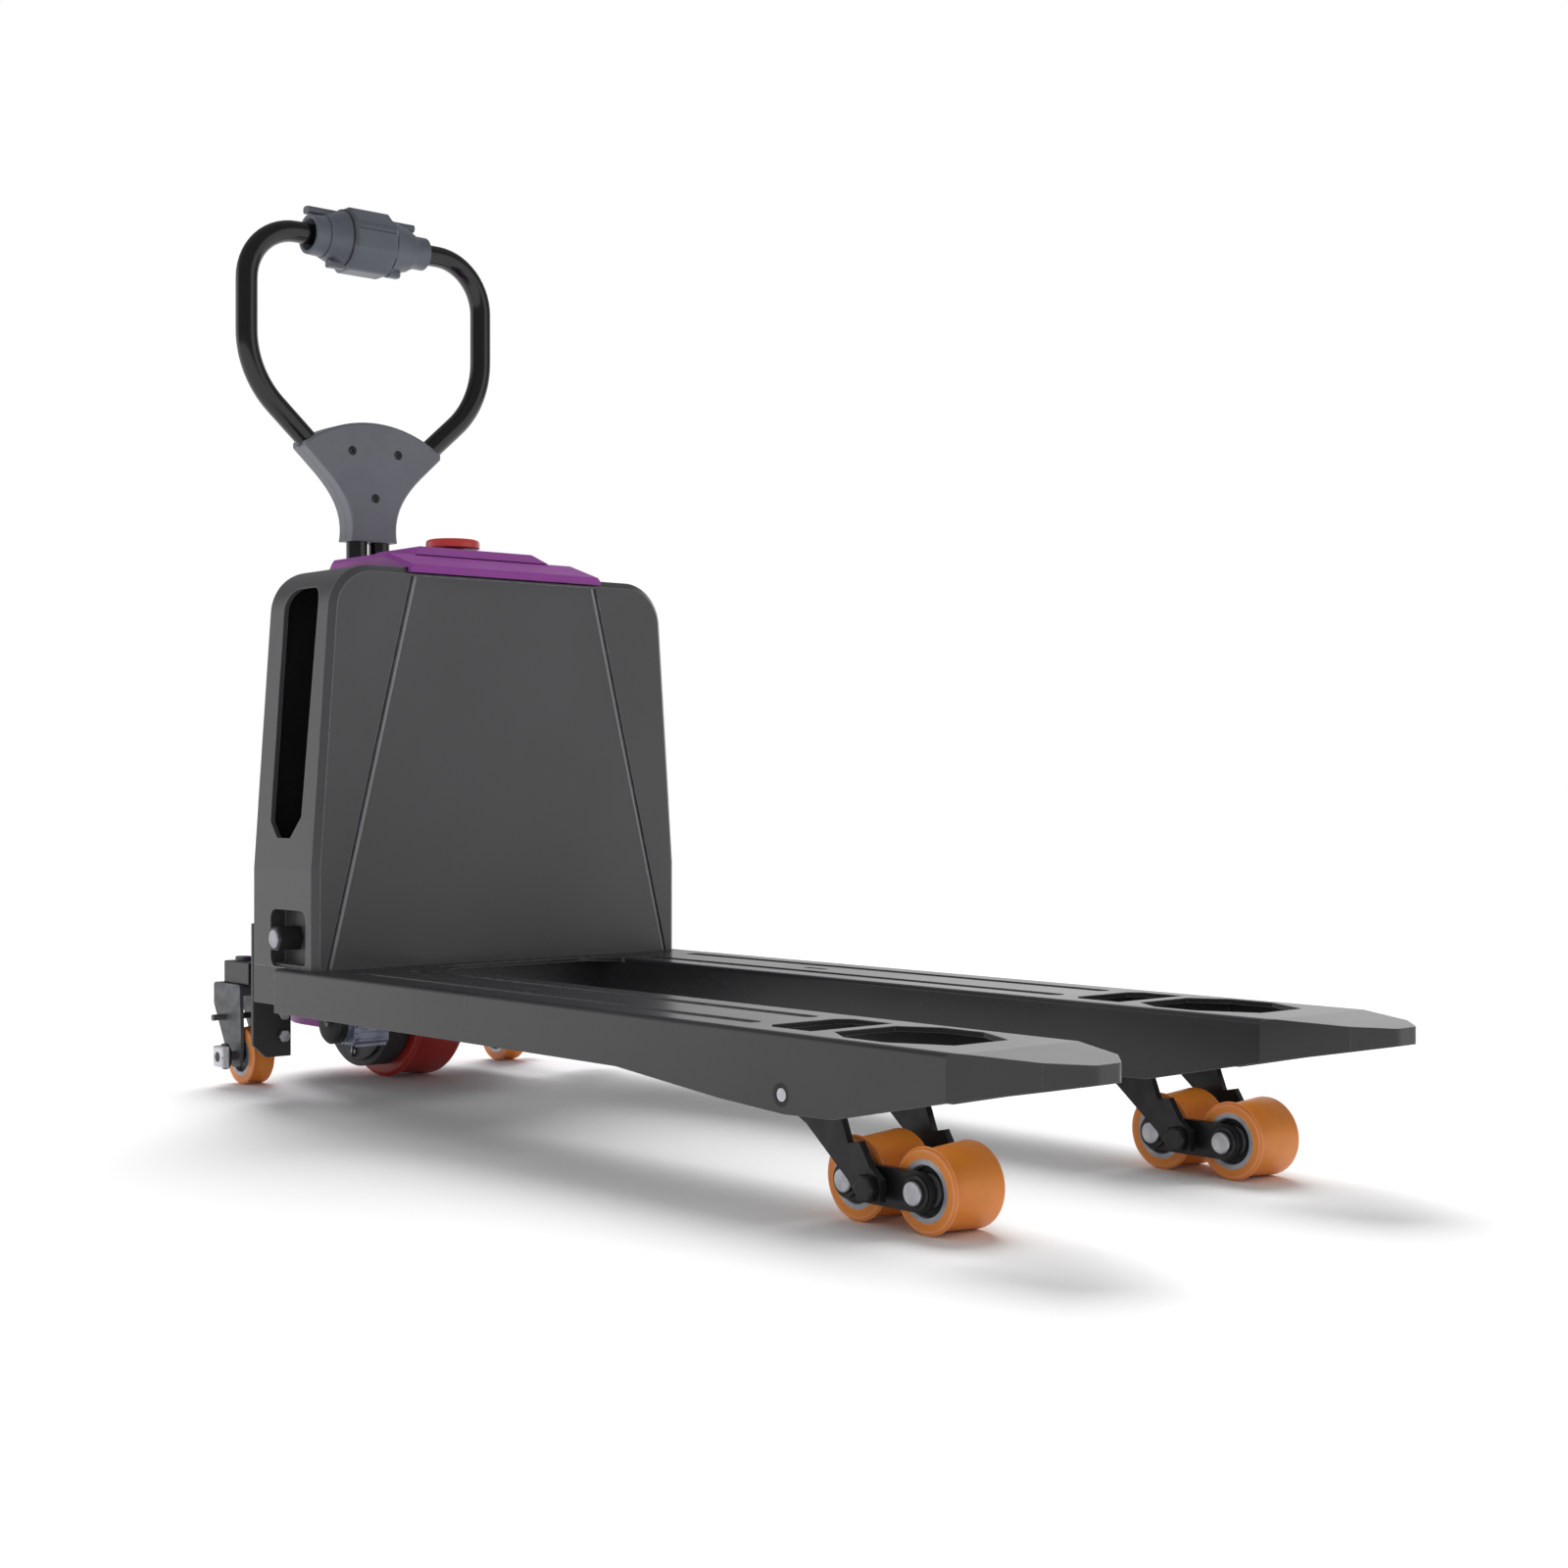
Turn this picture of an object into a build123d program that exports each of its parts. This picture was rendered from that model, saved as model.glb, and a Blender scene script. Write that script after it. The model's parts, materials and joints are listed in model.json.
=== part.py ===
from build123d import *
import os

# Electric pallet truck, millimetres. +X points to the fork tips, +Y to the left, Z = 0 is the floor.
# The origin lies on the floor under the middle of the overall box. The forks stand raised.

# ---- driving dimensions -------------------------------------------------------------------------
FORK_LENGTH = 1150.0        # chassis face to fork tips
REAR_OVERHANG = 400.0       # chassis face to the back of the drive cowl
WIDTH = 560.0               # over the forks
FORK_WIDTH = 150.0
FORK_TOP = 164.0            # raised height of the decks
LIFT = 80.0                 # stroke of the forks
CHASSIS_DEPTH = 145.0
SETBACK = 14.0              # chassis side inside the forks' outer sides
CHASSIS_TOP = 640.0
STEER_BACK = 240.0          # chassis face to the steering axis
TILLER_BACK = 330.0         # chassis face to the tiller plane
TILLER_TOP = 1106.0         # centre line of the tiller's top bar
DRIVE_RADIUS = 105.0
DRIVE_WIDTH = 70.0
LOAD_RADIUS = 38.0
LOAD_WIDTH = 60.0
CASTER_RADIUS = 37.0
CASTER_WIDTH = 30.0

GAP = 0.3                   # between pieces of different bodies
RUN = 0.06                  # radial clearance of a running fit
FACE_X = (REAR_OVERHANG - FORK_LENGTH) / 2
BACK_X = FACE_X - CHASSIS_DEPTH
STEER_X = FACE_X - STEER_BACK
TILLER_X = FACE_X - TILLER_BACK
FORK_Y = (WIDTH - FORK_WIDTH) / 2
CHASSIS_HALF = WIDTH / 2 - SETBACK

pieces = []


def keep(builder, label):
    """Label a finished piece and remember it for the export at the end."""
    builder.part.label = label
    pieces.append(builder.part)


def across(x, z, y=0.0):
    """A plane whose normal runs along +Y at a point, for axles and wheels."""
    return Plane(origin=(x, y, z), x_dir=(1, 0, 0), z_dir=(0, 1, 0))


def rod_along_y(x, z, y0, y1, radius):
    """A round bar along Y inside the current part."""
    with BuildSketch(across(x, z, y0)) as section:
        Circle(radius)
    extrude(section.sketch, amount=y1 - y0)


def block(x0, x1, y0, y1, z0, z1, mode=Mode.ADD):
    """A box between two corners inside the current part."""
    with Locations(((x0 + x1) / 2, (y0 + y1) / 2, (z0 + z1) / 2)):
        Box(x1 - x0, y1 - y0, z1 - z0, mode=mode)


# ---- forks --------------------------------------------------------------------------------------
WALL = 6.0
DECK = 5.0
FORK_BACK = FACE_X - 69.0
FORK_TIP = FACE_X + FORK_LENGTH
CREASE_X = FORK_TIP - 108.0
FORK_UNDER = FORK_TOP - 52.0
LINK_X = FACE_X + 840.0
LINK_Z = FORK_TOP - 54.5
LINK_PIN = 7.0
GROOVE_DEPTH = 1.6
FOOT_GROOVE = 2.5, 1.0       # width and depth of the groove before the chassis
WINDOW_1 = LINK_X - 54.0, LINK_X + 11.0
WINDOW_2 = LINK_X + 27.0, LINK_X + 171.0


def make_fork(side):
    """Pressed steel fork: a channel open below, with a solid rounded nose."""
    centre = side * FORK_Y
    with BuildPart() as fork:
        outer = Plane(origin=(0, centre + FORK_WIDTH / 2, 0), x_dir=(1, 0, 0), z_dir=(0, -1, 0))
        with BuildSketch(outer):
            with BuildLine():
                Polyline(
                    (FORK_BACK, FORK_UNDER), (FACE_X + 600, FORK_UNDER), (LINK_X - 86, FORK_TOP - 66),
                    (LINK_X + 4, FORK_TOP - 71), (LINK_X + 68, FORK_TOP - 69), (CREASE_X, FORK_TOP - 41),
                    (FORK_TIP, FORK_TOP - 21), (FORK_TIP, FORK_TOP - 5), (CREASE_X + 13, FORK_TOP),
                    (FORK_BACK, FORK_TOP), close=True,
                )
            make_face()
        extrude(amount=FORK_WIDTH)
        with BuildSketch(Plane.XY):
            with BuildLine():
                Polyline(
                    (FORK_BACK, centre - FORK_WIDTH / 2), (CREASE_X, centre - FORK_WIDTH / 2),
                    (FORK_TIP - 30, centre - 45), (FORK_TIP, centre - 15),
                    (FORK_TIP, centre + 15), (FORK_TIP - 30, centre + 45),
                    (CREASE_X, centre + FORK_WIDTH / 2), (FORK_BACK, centre + FORK_WIDTH / 2),
                    close=True,
                )
            nose = make_face()
            fillet(nose.vertices().group_by(Axis.X)[-1], 12)
            fillet(nose.vertices().filter_by(lambda v: CREASE_X + 20 < v.X < FORK_TIP - 20), 30)
        extrude(amount=FORK_TOP + 1, mode=Mode.INTERSECT)
        long_edges = fork.edges().filter_by(Axis.X).filter_by(lambda e: e.center().Z > FORK_TOP - 1)
        fillet(long_edges, 5)
        block(FORK_BACK - 1, CREASE_X, centre - FORK_WIDTH / 2 + WALL, centre + FORK_WIDTH / 2 - WALL,
              0, FORK_TOP - DECK, mode=Mode.SUBTRACT)
        with BuildSketch(Plane.XY.offset(FORK_TOP)):
            with BuildLine():
                Polyline(
                    (WINDOW_1[0] + 12, centre - 50), (WINDOW_1[1], centre - 50),
                    (WINDOW_1[1], centre + 50), (WINDOW_1[0] + 12, centre + 50),
                    (WINDOW_1[0], centre + 38), (WINDOW_1[0], centre - 38), close=True,
                )
            make_face()
            with BuildLine():
                Polyline(
                    (WINDOW_2[0], centre - 37), (WINDOW_2[0] + 38, centre - 60),
                    (WINDOW_2[1] - 56, centre - 60), (WINDOW_2[1], centre - 32),
                    (WINDOW_2[1], centre + 32), (WINDOW_2[1] - 56, centre + 60),
                    (WINDOW_2[0] + 38, centre + 60), (WINDOW_2[0], centre + 37), close=True,
                )
            make_face()
            with Locations((FACE_X + 343, centre)):
                SlotOverall(40, 9)
        extrude(amount=-20, mode=Mode.SUBTRACT)
        with BuildSketch(Plane.XY.offset(FORK_TOP)):
            for offset_y in (-35, 35):
                with Locations((FACE_X + 411, centre + offset_y)):
                    SlotOverall(702, 18)
        extrude(amount=-GROOVE_DEPTH, mode=Mode.SUBTRACT)
        block(FACE_X, FACE_X + FOOT_GROOVE[0], centre - FORK_WIDTH, centre + FORK_WIDTH,
              FORK_TOP - FOOT_GROOVE[1], FORK_TOP + 1, mode=Mode.SUBTRACT)
        with BuildSketch(across(LINK_X, LINK_Z, centre - FORK_WIDTH / 2 - 1)):
            Circle(LINK_PIN)
        extrude(amount=FORK_WIDTH + 2, mode=Mode.SUBTRACT)
    return fork


for name, side in (("fork_left", 1), ("fork_right", -1)):
    keep(make_fork(side), name)

with BuildPart() as link_pins:
    for side in (1, -1):
        inner = side * FORK_Y - FORK_WIDTH / 2
        rod_along_y(LINK_X, LINK_Z, inner, inner + FORK_WIDTH, LINK_PIN)
keep(link_pins, "link_pins")

# ---- heel frame: cross plate between the forks and side rails under the chassis -----------------
HEEL_FRONT = FACE_X + 22.0
GAP_HALF = FORK_Y - FORK_WIDTH / 2
HEEL_REACH = HEEL_FRONT + 48.0
RAIL_OUT = CHASSIS_HALF
RAIL_IN = CHASSIS_HALF - 16.0
with BuildPart() as heel_frame:
    with BuildSketch(Plane.XY.offset(FORK_TOP)):
        with BuildLine():
            Line((FACE_X - 69, -GAP_HALF), (HEEL_REACH, -GAP_HALF))
            RadiusArc((HEEL_REACH, -GAP_HALF), (HEEL_FRONT, -GAP_HALF + 48), 48)
            Line((HEEL_FRONT, -GAP_HALF + 48), (HEEL_FRONT, GAP_HALF - 48))
            RadiusArc((HEEL_FRONT, GAP_HALF - 48), (HEEL_REACH, GAP_HALF), 48)
            Line((HEEL_REACH, GAP_HALF), (FACE_X - 69, GAP_HALF))
            Line((FACE_X - 69, GAP_HALF), (FACE_X - 69, -GAP_HALF))
        make_face()
    extrude(amount=-DECK)
    block(FACE_X + 8, FACE_X + 14, -GAP_HALF, GAP_HALF, FORK_UNDER, FORK_TOP - DECK)
    for side in (1, -1):
        y0, y1 = sorted((side * RAIL_IN, side * RAIL_OUT))
        block(BACK_X, FORK_BACK, y0, y1, FORK_UNDER + 7, FORK_TOP)
keep(heel_frame, "heel_frame")

# ---- chassis shell ------------------------------------------------------------------------------
SHELL = 6.0
FRONT_WALL = 8.0
PANEL_T = 3.0
PANEL_FOOT = CHASSIS_HALF - 16.0
PANEL_HEAD = CHASSIS_HALF - 130.0
PANEL_TOP = CHASSIS_TOP - 10.0
SHOULDER_Z = FORK_TOP + 116.0
SHOULDER_HALF = CHASSIS_HALF - 26.0
HOOD_Y = CHASSIS_HALF - 126.0
PANEL_GROOVE = 3.0
SLOT_X = FACE_X - 112.0, FACE_X - 38.0
SLOT_Z = FORK_TOP + 153.0, CHASSIS_TOP - 26.0
KNOB_X = FACE_X - 76.0
KNOB_Z = FORK_TOP + 35.0
KNOB_R = 16.0
POCKET_X = FACE_X - 104.0, FACE_X - 20.0
POCKET_Z = FORK_TOP + 1.0, FORK_TOP + 69.0
POCKET = 15.0                # depth behind the wall
LINER = 4.0
REAR_GAP = 2.0


def shell_outline(inset, foot, top):
    """The chassis seen from the front, stepped in by a wall, with big rounded shoulders."""
    with BuildLine() as outline:
        Polyline(
            (-CHASSIS_HALF + inset, foot), (-CHASSIS_HALF + inset, SHOULDER_Z),
            (-SHOULDER_HALF + inset, top - inset), (SHOULDER_HALF - inset, top - inset),
            (CHASSIS_HALF - inset, SHOULDER_Z), (CHASSIS_HALF - inset, foot), close=True,
        )
    face = make_face(outline.edges())
    fillet(face.vertices().group_by(Axis.Y)[-1], 55 - inset)
    fillet(face.vertices().filter_by(lambda v: abs(v.Y - SHOULDER_Z) < 1), 600)


def upright(x):
    """A plane facing +X whose own x runs along +Y and whose own y runs up."""
    return Plane(origin=(x, 0, 0), x_dir=(0, 1, 0), z_dir=(1, 0, 0))


with BuildPart() as chassis_shell:
    with BuildSketch(upright(BACK_X)):
        shell_outline(0, FORK_TOP, CHASSIS_TOP)
    extrude(amount=CHASSIS_DEPTH)
    rim = chassis_shell.faces().sort_by(Axis.X)[-1].edges().filter_by(lambda e: e.center().Z > FORK_TOP + 1)
    chamfer(rim, 8)
    with BuildSketch(upright(BACK_X)):
        shell_outline(SHELL, FORK_TOP - 1, CHASSIS_TOP)
    extrude(amount=CHASSIS_DEPTH - FRONT_WALL, mode=Mode.SUBTRACT)
    with BuildSketch(upright(FACE_X)):
        with BuildLine():
            Polyline((-PANEL_FOOT, FORK_TOP), (-PANEL_HEAD, PANEL_TOP), (PANEL_HEAD, PANEL_TOP),
                     (PANEL_FOOT, FORK_TOP), close=True)
        make_face()
    extrude(amount=-PANEL_T, mode=Mode.SUBTRACT)
    # side slots, with cut corners at the foot and rounded ones at the head
    with BuildSketch(Plane.XZ.offset(-CHASSIS_HALF - 1)):
        with BuildLine():
            Polyline((SLOT_X[0], SLOT_Z[0] + 20), (SLOT_X[0] + 19, SLOT_Z[0]), (SLOT_X[1] - 24, SLOT_Z[0]),
                     (SLOT_X[1], SLOT_Z[0] + 26), (SLOT_X[1] + 8, SLOT_Z[1]), (SLOT_X[0], SLOT_Z[1]),
                     close=True)
        slot = make_face()
        fillet(slot.vertices().group_by(Axis.Y)[-1], 24)
        with Locations(((POCKET_X[0] + POCKET_X[1]) / 2, (POCKET_Z[0] + POCKET_Z[1]) / 2)):
            RectangleRounded(POCKET_X[1] - POCKET_X[0], POCKET_Z[1] - POCKET_Z[0], 12)
    extrude(amount=2 * CHASSIS_HALF + 2, mode=Mode.SUBTRACT)
    # opening in the roof under the hood
    block(BACK_X - 1, FACE_X - 30, -HOOD_Y + 20, HOOD_Y - 20, CHASSIS_TOP - SHELL - 1, CHASSIS_TOP + 1,
          mode=Mode.SUBTRACT)
    # pocket liners behind the low recesses
    for side in (1, -1):
        wall = side * (CHASSIS_HALF - SHELL + 1)
        y0, y1 = sorted((wall, wall - side * (POCKET + LINER)))
        block(POCKET_X[0] - LINER, POCKET_X[1] + LINER, y0, y1, FORK_TOP, POCKET_Z[1] + LINER)
        y2, y3 = sorted((wall + side, wall - side * POCKET))
        block(POCKET_X[0], POCKET_X[1], y2, y3, FORK_TOP + LINER, POCKET_Z[1], mode=Mode.SUBTRACT)
keep(chassis_shell, "chassis_shell")

with BuildPart() as front_panel:
    with BuildSketch(upright(FACE_X - PANEL_T)):
        with BuildLine():
            Polyline((-PANEL_FOOT + PANEL_GROOVE, FORK_TOP), (-PANEL_HEAD + PANEL_GROOVE, PANEL_TOP),
                     (PANEL_HEAD - PANEL_GROOVE, PANEL_TOP), (PANEL_FOOT - PANEL_GROOVE, FORK_TOP),
                     close=True)
        make_face()
    extrude(amount=PANEL_T)
    front_edges = front_panel.faces().sort_by(Axis.X)[-1].edges()
    chamfer(front_edges.filter_by(lambda e: abs(e.center().Y) > PANEL_HEAD / 2), 1.5)
keep(front_panel, "front_panel")

# round pivot caps standing in the low recesses
with BuildPart() as side_knobs:
    for side in (1, -1):
        base_y = side * (CHASSIS_HALF - SHELL + 1 - POCKET)
        y0, y1 = sorted((base_y, side * (WIDTH / 2 - 2)))
        rod_along_y(KNOB_X, KNOB_Z, y0, y1, KNOB_R)
    chamfer(side_knobs.edges().filter_by(GeomType.CIRCLE), 2)
keep(side_knobs, "side_knobs")

# ---- inside the chassis -------------------------------------------------------------------------
RAIL_Y = 120.0, 158.0
RAIL_Z = FORK_TOP + LIFT, CHASSIS_TOP - 80.0
BLOCK_Z = RAIL_Z[0] + 6, RAIL_Z[0] + 46    # feet of the slide blocks
BLOCK_H = 36.0
CYL_X = FACE_X - 92.0
ROD = 14.0
BARREL = 23.0
BARREL_Z = RAIL_Z[0] - 12.0, RAIL_Z[0] + 188.0
COVER_T = 3.0
COVER_FOOT = RAIL_Z[0] + 2.0   # clear of the brackets when the forks are down
with BuildPart() as rear_cover:
    with BuildSketch(upright(BACK_X)):
        shell_outline(SHELL, FORK_TOP - 1, CHASSIS_TOP)
    extrude(amount=COVER_T)
    block(BACK_X - 1, BACK_X + COVER_T + 1, -CHASSIS_HALF, CHASSIS_HALF, 0, COVER_FOOT, mode=Mode.SUBTRACT)
    for side in (1, -1):
        y0, y1 = sorted((side * RAIL_Y[0], side * RAIL_Y[1]))
        block(BACK_X - 1, BACK_X + COVER_T + 1, y0, y1, 0, RAIL_Z[1], mode=Mode.SUBTRACT)
    block(BACK_X - 1, BACK_X + COVER_T + 1, -60, 60, COVER_FOOT - 1, BARREL_Z[0] + LIFT + 4,
          mode=Mode.SUBTRACT)
keep(rear_cover, "rear_covers")

with BuildPart() as guide_rails:
    for side in (1, -1):
        y0, y1 = sorted((side * RAIL_Y[0], side * RAIL_Y[1]))
        block(BACK_X, BACK_X + 26, y0, y1, RAIL_Z[0], RAIL_Z[1])
        block(BACK_X - 1, BACK_X + 22, y0 + 4, y1 - 4, RAIL_Z[0] - 1, RAIL_Z[1] + 1, mode=Mode.SUBTRACT)
keep(guide_rails, "guide_rails")

with BuildPart() as battery_packs:
    for side in (1, -1):
        y0, y1 = sorted((side * 52, side * (CHASSIS_HALF - 66)))
        block(BACK_X + 34, FACE_X - FRONT_WALL, y0, y1, RAIL_Z[0] + 86, RAIL_Z[1])
    fillet(battery_packs.edges().filter_by(Axis.Z), 6)
keep(battery_packs, "battery_packs")

with BuildPart() as lift_rod:
    with BuildSketch(Plane.XY.offset(BARREL_Z[1] - 60)):
        with Locations((CYL_X, 0)):
            Circle(ROD)
    extrude(amount=RAIL_Z[1] - BARREL_Z[1] + 60)
    block(CYL_X - 22, FACE_X - FRONT_WALL, -38, 38, RAIL_Z[1], RAIL_Z[1] + 20)
keep(lift_rod, "lift_rod")

# ---- top hood and emergency stop ----------------------------------------------------------------
HOOD_FRONT = FACE_X + 6.0
HOOD_BACK = FACE_X - 195.0
HOOD_Z = CHASSIS_TOP + 22.0
STOP_X = FACE_X - 121.0
STEM = 14.0
with BuildPart() as top_cover:
    with BuildSketch(Plane.XZ.offset(-HOOD_Y)):
        with BuildLine():
            Polyline((HOOD_FRONT, CHASSIS_TOP - 6), (HOOD_FRONT, CHASSIS_TOP + 3), (FACE_X - 54, HOOD_Z),
                     (HOOD_BACK + 12, HOOD_Z), (HOOD_BACK, HOOD_Z - 14), (HOOD_BACK, CHASSIS_TOP),
                     close=True)
        make_face()
    extrude(amount=2 * HOOD_Y)
    flank_edges = top_cover.edges().filter_by(lambda e: abs(abs(e.center().Y) - HOOD_Y) < 0.1)
    chamfer(flank_edges.filter_by(lambda e: e.center().Z > CHASSIS_TOP + 6), 5)
    block(HOOD_BACK - 1, FACE_X, -HOOD_Y - 1, HOOD_Y + 1, CHASSIS_TOP - 7, CHASSIS_TOP, mode=Mode.SUBTRACT)
    block(HOOD_BACK, HOOD_BACK + 4, -HOOD_Y, HOOD_Y, RAIL_Z[1], CHASSIS_TOP)
    # raised plateau with sloping sides and a hipped front
    with BuildSketch(Plane.XY.offset(HOOD_Z)):
        with Locations(((FACE_X - 50 + HOOD_BACK + 14) / 2, 0)):
            Rectangle(FACE_X - 50 - HOOD_BACK - 14, 2 * HOOD_Y - 84)
    extrude(amount=12, taper=52)
    with BuildSketch(Plane.XY.offset(CHASSIS_TOP)):
        with Locations(((FACE_X - 64 + HOOD_BACK + 8) / 2, 0)):
            Rectangle(FACE_X - 64 - HOOD_BACK - 8, 2 * HOOD_Y - 24)
    extrude(amount=HOOD_Z - CHASSIS_TOP - 5, mode=Mode.SUBTRACT)
    with BuildSketch(Plane.XY.offset(HOOD_Z + 14)):
        with Locations((STOP_X, 0)):
            Circle(STEM)
    extrude(amount=-40, mode=Mode.SUBTRACT)
keep(top_cover, "top_cover")

STOP_Z = HOOD_Z + 12.0
STOP_TRAVEL = 6.0
with BuildPart() as estop_button:
    with BuildSketch(Plane.XY.offset(STOP_Z + STOP_TRAVEL + GAP)):
        with Locations((STOP_X, 0)):
            Circle(34)
    extrude(amount=11)
    fillet(estop_button.faces().sort_by(Axis.Z)[-1].edges(), 4)
    with BuildSketch(Plane.XY.offset(STOP_Z + STOP_TRAVEL + GAP)):
        with Locations((STOP_X, 0)):
            Circle(STEM - RUN)
    extrude(amount=-34)
keep(estop_button, "estop_button")

# ---- drive base ---------------------------------------------------------------------------------
PLATE = 6.0
PLATE_X = BACK_X - REAR_GAP - PLATE
SWEEP = DRIVE_RADIUS + 15.0   # clear circle round the steered drive unit
COWL_HALF = SWEEP + 10.0
COWL_IN = COWL_HALF - 4.0
BRIDGE_Z = 2 * DRIVE_RADIUS + 14, 2 * DRIVE_RADIUS + 26
PLATE_TOP = BRIDGE_Z[0] - 11.0
PLATE_PEAK = BLOCK_Z[1] + BLOCK_H + 4
PLATE_PEAK_HALF = RAIL_Y[1] + 2.0
TABLE_Z = BRIDGE_Z[1] + 16.0
TILLER_PIVOT_Z = TABLE_Z + 48.0
NECK = 45.0
CASTER_Y = COWL_HALF + 63.0
TAB_IN = CASTER_Y + 22.0
KING_X = FACE_X - 312.0
CASTER_X = FACE_X - 292.0
with BuildPart() as base_plate:
    with BuildSketch(upright(PLATE_X)):
        with BuildLine():
            Polyline(
                (-CHASSIS_HALF, 66), (-CHASSIS_HALF, PLATE_TOP), (-PLATE_PEAK_HALF, PLATE_TOP),
                (-PLATE_PEAK_HALF, PLATE_PEAK), (PLATE_PEAK_HALF, PLATE_PEAK), (PLATE_PEAK_HALF, PLATE_TOP),
                (CHASSIS_HALF, PLATE_TOP), (CHASSIS_HALF, 66), (CHASSIS_HALF - 18, 50),
                (TAB_IN, 50), (TAB_IN, 118), (SWEEP, 118), (SWEEP, BRIDGE_Z[0]), (-SWEEP, BRIDGE_Z[0]),
                (-SWEEP, 118), (-TAB_IN, 118), (-TAB_IN, 50), (-CHASSIS_HALF + 18, 50), close=True,
            )
        make_face()
    extrude(amount=PLATE)
keep(base_plate, "base_plate")

with BuildPart() as tab_bolts:
    for side in (1, -1):
        for z in (75, 102):
            with BuildSketch(upright(PLATE_X + PLATE)):
                with Locations((side * (TAB_IN + 11), z)):
                    RegularPolygon(8, 6)
            extrude(amount=6)
keep(tab_bolts, "tab_bolts")

with BuildPart() as slide_blocks:
    for side in (1, -1):
        y0, y1 = sorted((side * (RAIL_Y[0] + 4 + GAP), side * (RAIL_Y[1] - 4 - GAP)))
        for z in BLOCK_Z:
            block(PLATE_X + PLATE, BACK_X + 22 - GAP, y0, y1, z, z + BLOCK_H)
keep(slide_blocks, "slide_blocks")

with BuildPart() as bridge_plate:
    with BuildSketch(Plane.XY.offset(BRIDGE_Z[0])):
        with Locations(((PLATE_X + STEER_X) / 2, 0)):
            Rectangle(PLATE_X - STEER_X, 200)
        with Locations((STEER_X, 0)):
            Circle(100)
            Circle(NECK + 10, mode=Mode.SUBTRACT)
        with Locations((PLATE_X + 60, 0)):
            Rectangle(120, 260, mode=Mode.SUBTRACT)
    extrude(amount=BRIDGE_Z[1] - BRIDGE_Z[0])
keep(bridge_plate, "bridge_plate")

with BuildPart() as steering_bearing:
    with BuildSketch(Plane.XY.offset(BRIDGE_Z[0])):
        with Locations((STEER_X, 0)):
            Circle(NECK + 10)
            Circle(NECK + RUN, mode=Mode.SUBTRACT)
    extrude(amount=BRIDGE_Z[1] - BRIDGE_Z[0])
    with BuildSketch(Plane.XY.offset(BRIDGE_Z[1])):
        with Locations((STEER_X, 0)):
            Circle(NECK + 22)
            Circle(NECK + RUN, mode=Mode.SUBTRACT)
    extrude(amount=8)
keep(steering_bearing, "steering_bearing")

with BuildPart() as lift_cylinder:
    with BuildSketch(Plane.XY.offset(BARREL_Z[0])):
        with Locations((CYL_X, 0)):
            Circle(BARREL)
    extrude(amount=BARREL_Z[1] - BARREL_Z[0])
    with BuildSketch(Plane.XY.offset(BARREL_Z[1])):
        with Locations((CYL_X, 0)):
            Circle(ROD + RUN)
    extrude(amount=-(60 + LIFT + 5), mode=Mode.SUBTRACT)
keep(lift_cylinder, "lift_cylinder")

PUMP_X = FACE_X - 101.0
PUMP_Y = -SWEEP - 2.0         # the pump's inner end
PUMP_Z = 92.0
with BuildPart() as pump_unit:
    block(PUMP_X - 27, PUMP_X + 27, PUMP_Y - 48, PUMP_Y, 65, 118)
    fillet(pump_unit.edges().filter_by(Axis.Y), 5)
    rod_along_y(PUMP_X, PUMP_Z, PUMP_Y - 68, PUMP_Y - 48, 25.5)
    chamfer(pump_unit.faces().sort_by(Axis.Y)[0].edges(), 3)
    rod_along_y(PUMP_X, PUMP_Z, PUMP_Y - 72, PUMP_Y - 68, 4)
keep(pump_unit, "pump_unit")

with BuildPart() as base_brackets:
    block(PLATE_X + PLATE, CYL_X + 28, -40, 40, BARREL_Z[0] - 12, BARREL_Z[0])
    block(PLATE_X + PLATE, PLATE_X + PLATE + 5, PUMP_Y - 54, PUMP_Y, 123, 158)
    block(PLATE_X + PLATE, PUMP_X + 27, PUMP_Y - 54, PUMP_Y, 118, 123)
keep(base_brackets, "base_brackets")

COWL_Z = 72.0, TABLE_Z + 10.0
COWL_ARC_X = FACE_X - REAR_OVERHANG + COWL_HALF


def cowl_outline(half):
    """The cowl seen from above: straight sides and a half round back."""
    with BuildLine() as outline:
        Line((PLATE_X, -half), (COWL_ARC_X, -half))
        ThreePointArc((COWL_ARC_X, -half), (COWL_ARC_X - half, 0), (COWL_ARC_X, half))
        Line((COWL_ARC_X, half), (PLATE_X, half))
        Line((PLATE_X, half), (PLATE_X, -half))
    make_face(outline.edges())


with BuildPart() as drive_cowl:
    with BuildSketch(Plane.XY.offset(COWL_Z[0])):
        cowl_outline(COWL_HALF)
    extrude(amount=COWL_Z[1] - COWL_Z[0])
    chamfer(drive_cowl.faces().sort_by(Axis.Z)[-1].edges().filter_by(lambda e: e.center().X < PLATE_X - 1), 3)
    with BuildSketch(Plane.XY.offset(COWL_Z[0] - 1)):
        cowl_outline(COWL_IN)
    extrude(amount=COWL_Z[1] - COWL_Z[0] - 3, mode=Mode.SUBTRACT)
    with BuildSketch(Plane.XY.offset(COWL_Z[1] + 1)):
        with Locations((STEER_X, 0)):
            Circle(SWEEP + 2)
        with Locations((STEER_X + 60, 0)):
            Rectangle(120, 2 * COWL_IN)
    extrude(amount=-8, mode=Mode.SUBTRACT)
keep(drive_cowl, "drive_cowl")

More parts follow.
